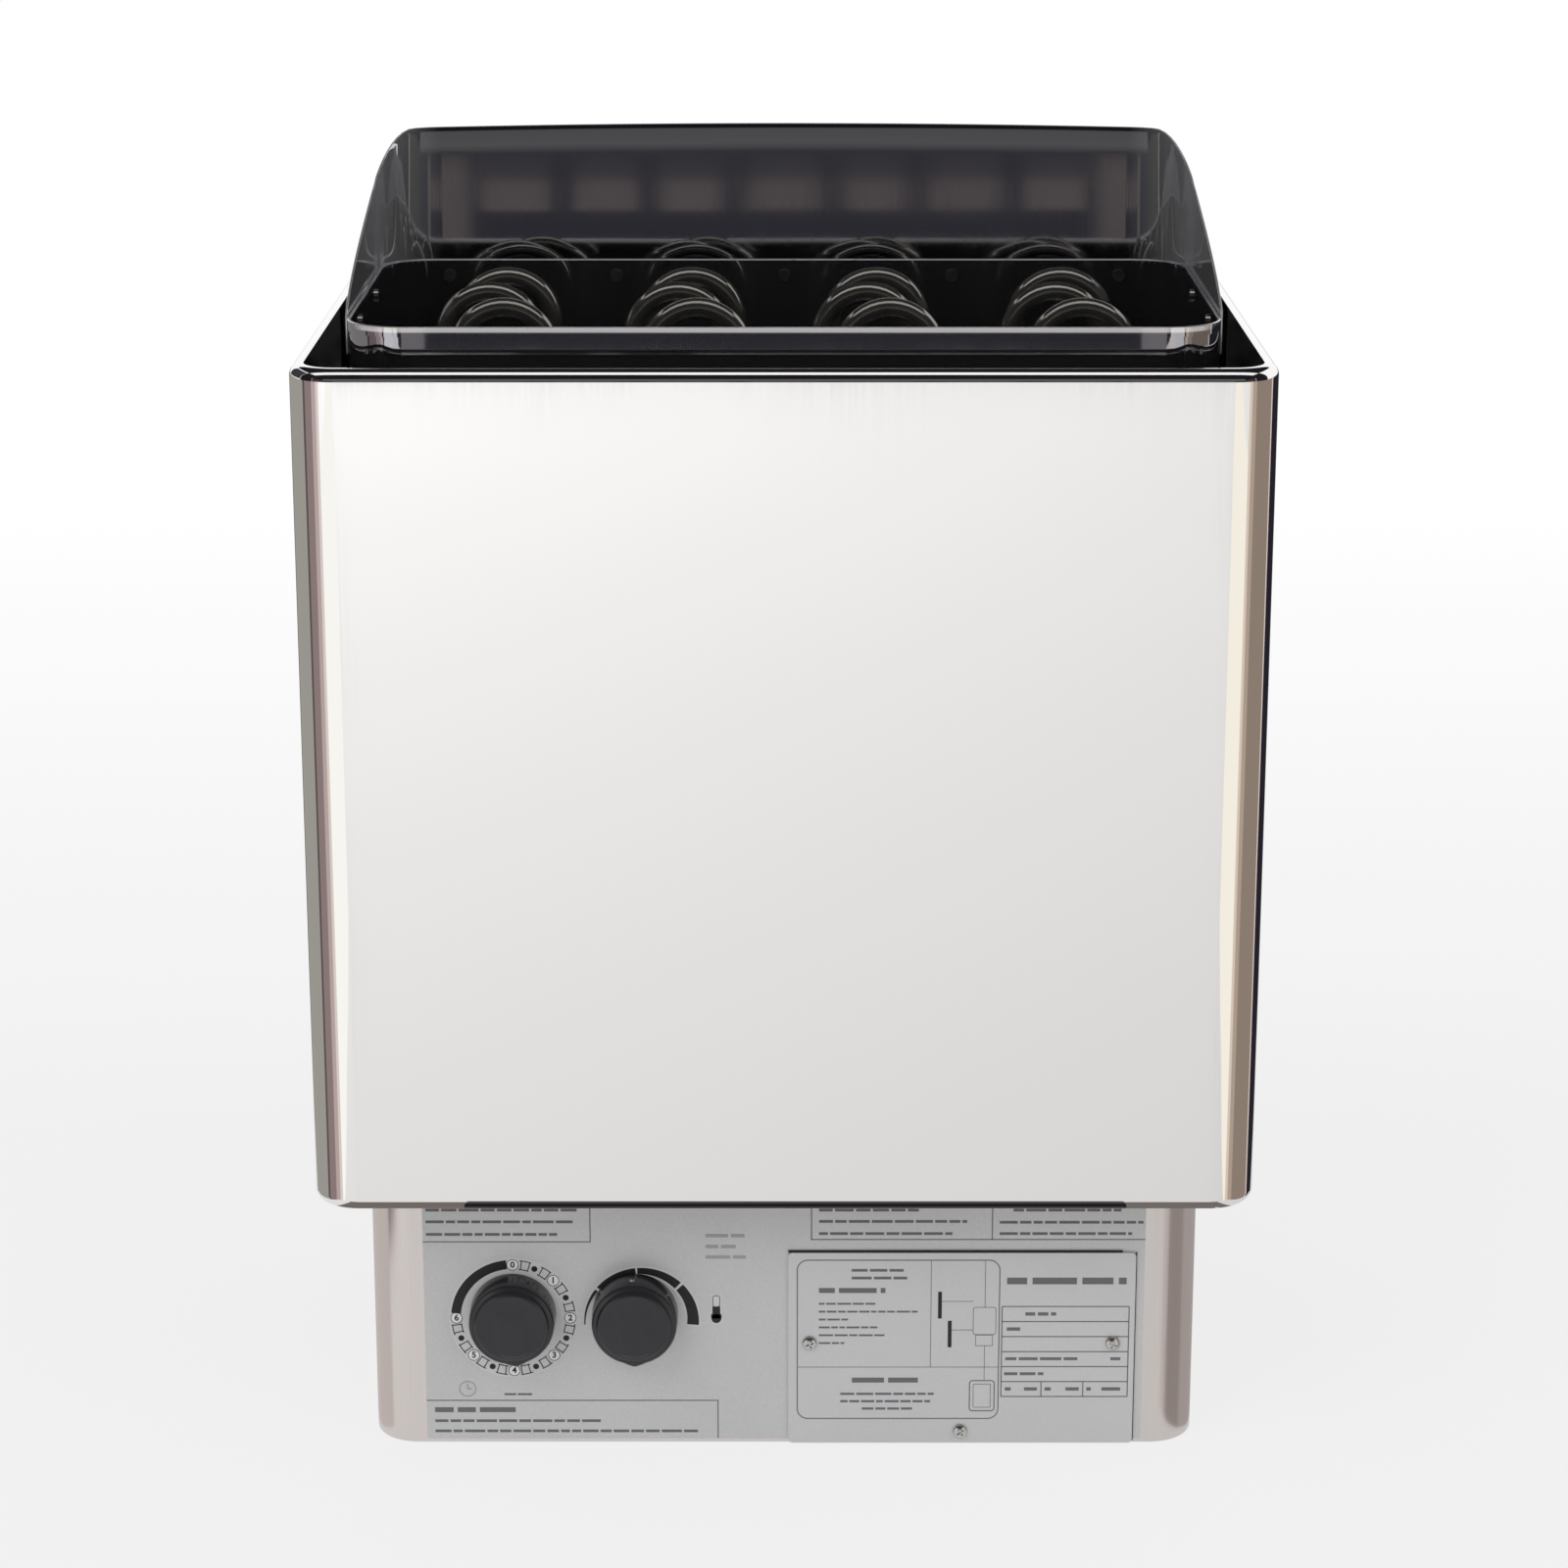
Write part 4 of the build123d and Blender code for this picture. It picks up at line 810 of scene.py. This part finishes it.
def printHeatDial():
    dial = heatDial
    black = [crescent(start, end, 0) for start, end in dial["spans"]]
    first, last = dial["spans"][0][0], dial["spans"][-1][1]
    light = [crescent(first - dial["overlap"], last + dial["overlap"], dial["grow"])]
    light.append(inkDisc(knob["thermostatX"], dial["knobGroundZ"], dial["knobGround"], dial["knobSides"]))
    lay("heat_dial_ground", light, "silver", "ground")
    lay("heat_dial_band", black, "black", "mark")


# Plain pictures beside the dials: a thermometer and a clock

picture = {
    "tubeX": -30.3,
    "bulbZ": 61.0,
    "bulb": 2.2,
    "tube": 1.75,          # half width
    "fill": 66.8,
    "top": 72.2,
    "line": 0.4,
    "round": 1.4,
    "halo": (0.7, 0.6, 0.4),   # pale ground past the bulb, the tube's sides and its top
    "clockX": -142.4,
    "clockZ": 26.8,
    "clock": 3.9,
    "clockLine": 0.55,
    "handHalf": 0.3,
    "hands": (2.6, 1.9),   # upright and level hand
}


def printPictures():
    p = picture
    x, bulbZ, half = p["tubeX"], p["bulbZ"], p["tube"]
    aroundBulb, beside, over = p["halo"]
    black = [inkDisc(x, bulbZ, p["bulb"]), inkPatch(x - half, x + half, bulbZ, p["fill"])]
    light = [inkDisc(x, bulbZ, p["bulb"] + aroundBulb),
             inkPatch(x - half - beside, x + half + beside, bulbZ, p["top"] + over)]
    grey = [inkFrame(x - half, x + half, p["fill"] - p["line"], p["top"], p["line"], p["round"])]
    x, z, half = p["clockX"], p["clockZ"], p["handHalf"]
    upright, level = p["hands"]
    pale = [hollowOut(inkDisc(x, z, p["clock"]), p["clockLine"])]
    pale.append(inkPatch(x - half, x + half, z, z + upright))
    pale.append(inkPatch(x, x + level, z - half, z + half))
    lay("thermometer_ground", light, "silver", "ground")
    lay("thermometer_tube", grey, "grey", "line")
    lay("thermometer_fill", black, "black", "mark")
    lay("clock_picture", pale, "pale", "line")


# Blank notes on the fascia: ruled borders, with rows of plain dashes; x from, x to, height, dash height
fasciaNotes = {
    "line": 0.5,
    "rules": [(-161, -86.6, 97.6), (-161, -30.0, 20.9), (12.0, 161, 98.7)],
    "posts": [(-86.6, 97.6, 125), (-30.0, 2.6, 21.4), (12.0, 98.7, 125), (92.5, 98.7, 125)],
    "rows": [(-159.5, -90, 113.0, 1.3), (-159.5, -94, 107.4, 1.3), (-159.5, -101, 101.4, 1.3),
             (15.6, 60, 113.0, 1.3), (15.6, 81.5, 107.6, 1.3), (15.6, 75, 101.8, 1.3),
             (102, 150, 113.0, 1.3), (96, 160, 107.2, 1.3), (96, 155, 101.8, 1.3),
             (-157.4, -81, 11.2, 1.3), (-157.4, -38, 6.2, 1.3), (-125.9, -113.5, 24.2, 1.0)],
    "heading": [(-157.4, -121, 16.6, 2.4)],
    "pale": [(-35, -15, 100.8, 1.6), (-35, -21.5, 95.6, 1.6), (-35, -14.5, 90.6, 1.6)],
}


def printFasciaNotes():
    n = fasciaNotes
    words = random.Random(11)
    grey = []
    for x0, x1, z in n["rules"]:
        grey.append(inkPatch(x0, x1, z, z + n["line"]))
    for x, z0, z1 in n["posts"]:
        grey.append(inkPatch(x, x + n["line"], z0, z1))
    for row in n["rows"] + n["heading"]:
        grey += inkRow(*row, words)
    pale = []
    for row in n["pale"]:
        pale += inkRow(*row, words)
    lay("fascia_notes", grey, "grey", "note")
    lay("fascia_notes_pale", pale, "pale", "note")


# Cover plate: a rounded border split in three, a plain outline of a heater between two walls, a ruled table
coverPrint = {
    "border": (5.7, 96.6, 12.6, 89.8),
    "corner": 5.0,
    "line": 0.5,
    "thin": 0.28,
    "splitX": 65.6,
    "splitZ": 37.8,
    "rows": [(30.2, 53.4, 84.7, 1.3), (30.2, 55, 81, 1.3), (15.6, 40.9, 68.6, 0.9), (15.6, 59.8, 64.8, 0.9),
             (15.6, 30.7, 61, 0.9), (15.6, 42, 57.2, 0.9), (15.6, 45.8, 53.4, 0.9), (15.6, 27, 49.6, 0.9),
             (25.3, 67.4, 24.9, 1.1), (25.3, 65.8, 21.3, 1.1), (35, 57.7, 17.7, 1.1)],
    "heading": [(15.6, 45.3, 75, 2.4), (30.5, 60.2, 31.6, 2.4), (99.6, 153, 79.6, 3.2)],
    "walls": [(68.9, 70.6, 61.5, 74.4), (73.4, 75.1, 47.6, 60.4)],
    "heater": (84.6, 95.0, 53.6, 67.0),
    "foot": (85.8, 93.6, 48.2, 53.6),
    "heaterCorner": 1.2,
    "plan": (83.2, 94.8, 16.4, 31.6),
    "planCorners": (1.6, 0.6),
    "planInset": 1.8,
    "arms": [(70.6, 84.6, 69.6), (75.1, 84.6, 55.8)],
    "table": (97.6, 154.4, 23.6, 67.3),
    "levels": 6,
    "cells": (115.6, 134.4),
    "entries": [(108, 121.8, 63.7, 1.6), (99.8, 105.8, 56.4, 1.6), (99.3, 131.7, 42, 1.4),
                (146.5, 151, 42, 1.4), (98.9, 116.6, 34.7, 1.4), (99.3, 102, 27.3, 1.6),
                (108, 113.8, 27.3, 1.6), (117.2, 120, 27.3, 1.6), (126.6, 132.6, 27.3, 1.6),
                (136, 138, 27.3, 1.6), (142.8, 151.2, 27.3, 1.6)],
}


def printCover():
    c = coverPrint
    words = random.Random(5)
    x0, x1, z0, z1 = c["border"]
    grey = [inkFrame(x0, x1, z0, z1, c["line"], c["corner"])]
    grey.append(inkPatch(x0 + c["line"], x1 - c["line"], c["splitZ"], c["splitZ"] + c["thin"]))
    grey.append(inkPatch(c["splitX"], c["splitX"] + c["thin"], c["splitZ"], z1 - c["line"]))
    for row in c["rows"] + c["heading"] + c["entries"]:
        grey += inkRow(*row, words)
    # outline of a heater, seen from the front and from above, with its distances
    grey.append(inkFrame(*c["heater"], c["thin"], c["heaterCorner"]))
    grey.append(inkFrame(*c["foot"], c["thin"]))
    p0, p1, p2, p3 = c["plan"]
    inset = c["planInset"]
    grey.append(inkFrame(p0, p1, p2, p3, c["line"], c["planCorners"][0]))
    grey.append(inkFrame(p0 + inset, p1 - inset, p2 + inset, p3 - inset, c["thin"], c["planCorners"][1]))
    middle = (c["heater"][0] + c["heater"][1]) / 2
    grey.append(inkPatch(middle, middle + c["thin"], c["heater"][3], z1 - c["line"]))
    grey.append(inkPatch(middle, middle + c["thin"], p3, c["foot"][2]))
    for a0, a1, z in c["arms"]:
        grey.append(inkPatch(a0, a1, z, z + c["thin"]))
    black = [inkPatch(*wall) for wall in c["walls"]]
    # table: level lines, side lines and the cells of the last row
    t0, t1, t2, t3 = c["table"]
    step = (t3 - t2) / c["levels"]
    for n in range(c["levels"] + 1):
        grey.append(inkPatch(t0, t1, t2 + n * step - c["line"] / 2, t2 + n * step + c["line"] / 2))
    for x in (t0, t1):
        grey.append(inkPatch(x - c["line"] / 2, x + c["line"] / 2, t2, t3))
    for x in c["cells"]:
        grey.append(inkPatch(x - c["line"] / 2, x + c["line"] / 2, t2, t2 + step))
    lay("cover_print", grey, "grey", "note", "cover_plate")
    lay("cover_print_black", black, "black", "cell", "cover_plate")


printTimerDial()
printHeatDial()
printPictures()
printFasciaNotes()
printCover()
print("prints laid")


# Painted shade: thin black strips, in the rubber finish, put above the cover and beside it where the gap lies
# in shade

coverShadeStrip = {"left": 1.9, "right": 157.0, "short": 6, "low": 2.0, "top": 93.0, "above": 0.9, "beside": 0.45,
             "thick": 0.9, "rounding": 0.12}


def makeCoverSeal():
    s = coverShadeStrip
    strips = [inkPatch(s["left"], s["right"] - s["short"], s["top"], s["top"] + s["above"]),
              inkPatch(s["right"], s["right"] + s["beside"], s["low"], s["top"])]
    shadeStrip = joinAll(strips, "cover_shade_strip")
    thicken(shadeStrip, s["thick"] * mm, 1)
    soften = shadeStrip.modifiers.new("edge", "BEVEL")
    soften.width = s["rounding"] * mm
    soften.segments = 2
    bpy.ops.object.modifier_apply(modifier=soften.name)
    standUp(shadeStrip, (0, faces["fascia_foil"], 0))
    # black finish as painted shade, a dark line along the shaded gap
    paint(shadeStrip, finishes["black_rubber"])
    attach(shadeStrip, "heater")


makeCoverSeal()
print("seal made")


# Camera at the photograph's place

camera = {"place": (0.0, -1.7816, 0.7858), "pitchDown": 15.807, "lens": 93.02, "sensor": 36.0, "farthest": 60}


def addCamera():
    deselect()
    bpy.ops.object.camera_add(location=camera["place"])
    eye = bpy.context.object
    eye.rotation_euler = (math.radians(90 - camera["pitchDown"]), 0, 0)
    eye.data.lens = camera["lens"]
    eye.data.sensor_width = camera["sensor"]
    eye.data.clip_end = camera["farthest"]
    scene.camera = eye


addCamera()
print("camera in place")


# Studio: white floor and world, soft lamps, and cards that only reflections see

studio = {
    "floorSize": 24.0,
    "floorDrop": 0.2 * mm,
    "ambient": 0.62,
    "lampSize": 2.2,
    "lampTarget": (0, 0, 0.3),
    "lamps": [("key", (-1.6, -2.2, 2.6), 26.0), ("fill", (2.0, -1.8, 1.8), 12.0)],   # place and power
}
# seamless white paper; each glow goes from its first level to its last between two places on an axis
paper = {
    "tint": "#f4f4f4",
    "glow": 0.86,                            # share of the paper's look that glows, the rest takes shadow
    "near": ("Y", 0.3, 2.0, 0.914, 1.07),    # what the eye sees: white far behind, greyer towards the front
    "far": ("Y", -2.6, -0.4, 1.02, 0.76),    # what polished steel shows: darker close to the heater
    "across": ("X", -0.5, 0.5, 1.1, 0.87),   # and darker towards its right
}


def seenRays(tree, rays):
    # 1 for camera, glossy and transmission rays, 0 for the light that falls on the object
    seen = rays["Is Camera Ray"]
    for name in ("Is Glossy Ray", "Is Transmission Ray"):
        seen = reckon(tree, "MAXIMUM", seen, rays[name])
    return seen


def addWorld():
    world = bpy.data.worlds.new("studio")
    scene.world = world
    world.use_nodes = True
    tree = world.node_tree
    tree.nodes.clear()
    seen = seenRays(tree, addNode(tree, "LightPath").outputs)
    strength = remap(tree, seen, studio["ambient"], 1)
    glow = addNode(tree, "Background", {"Color": (1, 1, 1, 1), "Strength": strength})
    addNode(tree, "OutputWorld", {"Surface": glow.outputs["Background"]})


def floorPaint():
    # near white to the eye and in reflections, and it keeps a soft shadow
    material, tree, place = startMaterial("seamless paper")
    axes = addNode(tree, "SeparateXYZ", {"Vector": place}).outputs
    rays = addNode(tree, "LightPath").outputs
    levels = []
    for name in ("near", "far", "across"):
        axis, low, high, first, last = paper[name]
        levels.append(remap(tree, axes[axis], first, last, low, high))
    near, far, across = levels
    shown = reckon(tree, "MULTIPLY", far, across)
    level = addNode(tree, "Mix", {0: rays["Is Glossy Ray"], 2: near, 3: shown})
    glow = addNode(tree, "Emission", {"Strength": level.outputs[0]})
    matt = addNode(tree, "BsdfDiffuse", {"Color": paper["tint"]})
    share = reckon(tree, "MULTIPLY", seenRays(tree, rays), paper["glow"])
    both = addNode(tree, "MixShader", {0: share, 1: matt.outputs["BSDF"], 2: glow.outputs["Emission"]})
    addNode(tree, "OutputMaterial", {"Surface": both.outputs["Shader"]})
    return material


def addFloor():
    deselect()
    bpy.ops.mesh.primitive_plane_add(size=studio["floorSize"], location=(0, 0, -studio["floorDrop"]))
    floor = bpy.context.object
    floor.name = "floor"
    apply(floor)
    paint(floor, floorPaint())


def addLamp(name, place, power):
    deselect()
    bpy.ops.object.light_add(type="AREA", location=place)
    lamp = bpy.context.object
    lamp.name = name
    towards = Vector(studio["lampTarget"]) - Vector(place)
    lamp.rotation_euler = towards.to_track_quat("-Z", "Y").to_euler()
    lamp.data.shape = "DISK"
    lamp.data.size = studio["lampSize"]
    lamp.data.energy = power
    lamp.visible_glossy = False


def cardPaint(name, colour):
    # one even colour, or a list of heights and colours, which run into each other
    material, tree, place = startMaterial(name)
    if isinstance(colour, str):
        shown = colour
    else:
        low, high = colour[0][0], colour[-1][0]
        height = addNode(tree, "SeparateXYZ", {"Vector": place}).outputs["Z"]
        ramp = addNode(tree, "ValToRGB", {"Fac": remap(tree, height, 0, 1, low, high)})
        stops = ramp.color_ramp.elements
        stops[0].color = linear(colour[0][1])
        stops[1].color = linear(colour[-1][1])
        for z, stop in colour[1:-1]:
            stops.new((z - low) / (high - low)).color = linear(stop)
        shown = ramp.outputs["Color"]
    glow = addNode(tree, "Emission", {"Color": shown, "Strength": 1.0})
    addNode(tree, "OutputMaterial", {"Surface": glow.outputs["Emission"]})
    return material


def addCard(name, corners, colour):
    # a flat card from four corners, seen only in reflections
    mesh = bpy.data.meshes.new(name)
    mesh.from_pydata([Vector(c) for c in corners], [], [(0, 1, 2, 3)])
    card = bpy.data.objects.new(name, mesh)
    scene.collection.objects.link(card)
    paint(card, cardPaint(name, colour))
    card.visible_camera = False
    card.visible_diffuse = False
    card.visible_shadow = False
    card.visible_transmission = False


def frontCard(name, x0, x1, y, z0, z1, colour):
    addCard(name, [(x0, y, z0), (x1, y, z0), (x1, y, z1), (x0, y, z1)], colour)


def levelCard(name, x0, x1, y0, y1, z, colour):
    addCard(name, [(x0, y0, z), (x1, y0, z), (x1, y1, z), (x0, y1, z)], colour)


def sideCard(name, x, y0, y1, z0, z1, colour):
    addCard(name, [(x, y0, z0), (x, y1, z0), (x, y1, z1), (x, y0, z1)], colour)


# dark side of the room, in front of the heater and over it: only the floor below it looks white,
# it is paler higher up, and the ceiling has one bright strip across
flag = {
    "y": -2.6, "half": 1.6, "low": 0.07, "high": 1.95, "sideLow": 0.14, "sideRear": -0.05,
    "colour": "#1c1b20", "ceiling": [(-2.6, -0.9), (-0.14, 2.6)],
    "shades": [(0.07, "#35343a"), (0.66, "#3a3a41"), (0.76, "#565658"), (0.86, "#646464"),
               (1.3, "#5c5c5e"), (1.45, "#1c1b20"), (1.95, "#1c1b20")],
}
# windows in the dark side, which show in the back of the hood, and a taller one at each end
pane = {
    "count": 7, "width": 0.074, "pitch": 0.1, "end": (0.352, 0.6), "ahead": 0.01,
    "shades": [(0.478, "#655e5e"), (0.56, "#625b5b"), (0.59, "#4a484b"), (0.68, "#3f3e44")],
    "endShades": [(0.25, "#5c5756"), (0.6, "#645e5d"), (0.72, "#3c3b42")],
}
# duller walls at the sides, and a thin bright edge on each, for the hood's corners
wall = {"x": 1.55, "front": -2.5, "rear": -0.9, "low": 0.2, "high": 0.9, "colour": "#3d3b3a",
        "edgeX": 1.15, "edgeY": -0.75, "edgeWidth": 0.014, "edgeColour": "#f2e6d0"}
# dull patch low on each side of the flag, which shows at the ends of the stone box's hem
patch = {"inner": 0.372, "outer": 0.7, "high": 0.13, "colour": "#8f8b8c"}
# grey bands beside the base, under the casing, which show in its corners: x, start and end along Y
besides = {"high": 0.125, "bands": [
    (0.19, -0.135, -0.118, "#cbc5c2"), (0.19, -0.118, -0.095, "#9a9390"), (0.19, -0.095, 0.02, "#aea9a7"),
    (-0.19, -0.1, 0.02, "#cdc8c6")]}
# dark end of the room beyond the left side, over the height of the room's bands
leftEnd = {"x": -1.3, "front": -0.05, "rear": 1.4, "low": 0.48, "high": 1.5, "colour": "#3a393e"}
# dark strips close under the casing's lower edge, which show as a line along it: from and to in x, then in y
shade = {"z": 0.115, "strips": [
    (-0.2, -0.14, -0.165, -0.118, "#736b66"), (0.15, 0.2, -0.165, -0.118, "#736c6a"),
    (-0.14, 0.15, -0.182, -0.168, "#84838a"), (-0.14, 0.15, -0.168, -0.154, "#47454b"),
    (-0.14, 0.15, -0.154, -0.137, "#211e22"), (-0.14, 0.15, -0.137, -0.118, "#4a4644")]}
# bands of the room beside the heater, front to back: start and end along Y
room = {
    "x": 0.4, "high": 0.48, "frontHigh": 0.4,
    "left": [(-0.94, -0.36, "#fffefb"), (-0.36, -0.31, "#dccfcb"), (-0.31, -0.25, "#b7a6a4"),
             (-0.25, -0.167, "#8b7b7b"), (-0.167, -0.144, "#5a5350"), (-0.144, 0.255, "#9d9a95"),
             (0.255, 0.6, "#55524f")],
    "right": [(-0.94, -0.36, "#fbf5ea"), (-0.36, -0.31, "#d9cabb"), (-0.31, -0.25, "#b09f92"),
              (-0.25, -0.05, "#8f8075"), (-0.05, -0.03, "#e2cfcb"), (-0.03, 0.52, "#26242c"),
              (0.52, 0.7, "#77727a")],
}
# strip on the floor that shows as a thin line where each corner's bend starts, in degrees off the front
seam = {"cornerX": 0.187, "cornerY": -0.138, "from": 6.8, "to": 14.0, "near": 0.3, "far": 2.6, "z": 0.001,
        "colour": "#8d908a"}


def paneCard(name, x0, x1, shades):
    frontCard(name, x0, x1, flag["y"] + pane["ahead"], shades[0][0], shades[-1][0], shades)


def seamCard(side):
    corners = []
    for angle, reach in (("from", "near"), ("from", "far"), ("to", "far"), ("to", "near")):
        turn = math.radians(seam[angle])
        x = side * (seam["cornerX"] + seam[reach] * math.sin(turn))
        corners.append((x, seam["cornerY"] - seam[reach] * math.cos(turn), seam["z"]))
    addCard(f"seam_{side}", corners, seam["colour"])


def addRoomSide(side, name):
    for n, (y0, y1, colour) in enumerate(room[name]):
        high = room["high"] if n else room["frontHigh"]
        sideCard(f"room_{name}_{n}", side * room["x"], y0, y1, 0.0, high, colour)
    sideCard(f"flag_{name}", side * flag["half"], flag["y"], flag["sideRear"], flag["sideLow"], flag["high"],
             flag["colour"])
    paneCard(f"pane_{name}", side * pane["end"][0], side * pane["end"][1], pane["endShades"])
    frontCard(f"patch_{name}", side * patch["inner"], side * patch["outer"], flag["y"] + pane["ahead"],
              flag["low"], patch["high"], patch["colour"])
    sideCard(f"wall_{name}", side * wall["x"], wall["front"], wall["rear"], wall["low"], wall["high"],
             wall["colour"])
    sideCard(f"wall_edge_{name}", side * wall["edgeX"], wall["edgeY"], wall["edgeY"] + wall["edgeWidth"],
             wall["low"], wall["high"], wall["edgeColour"])
    seamCard(side)


def addStudio():
    addWorld()
    addFloor()
    for lamp in studio["lamps"]:
        addLamp(*lamp)
    half = flag["half"]
    frontCard("front_flag", -half, half, flag["y"], flag["low"], flag["high"], flag["shades"])
    for n, (y0, y1) in enumerate(flag["ceiling"]):
        levelCard(f"ceiling_{n}", -half, half, y0, y1, flag["high"], flag["colour"])
    for n in range(pane["count"]):
        x = (n - (pane["count"] - 1) / 2) * pane["pitch"]
        paneCard(f"pane_{n}", x - pane["width"] / 2, x + pane["width"] / 2, pane["shades"])
    sideCard("left_end", leftEnd["x"], leftEnd["front"], leftEnd["rear"], leftEnd["low"], leftEnd["high"],
             leftEnd["colour"])
    for n, (x, y0, y1, colour) in enumerate(besides["bands"]):
        sideCard(f"beside_base_{n}", x, y0, y1, 0.0, besides["high"], colour)
    for n, (x0, x1, y0, y1, colour) in enumerate(shade["strips"]):
        levelCard(f"edge_shade_{n}", x0, x1, y0, y1, shade["z"], colour)
    addRoomSide(-1, "left")
    addRoomSide(1, "right")


addStudio()
print("studio lit")
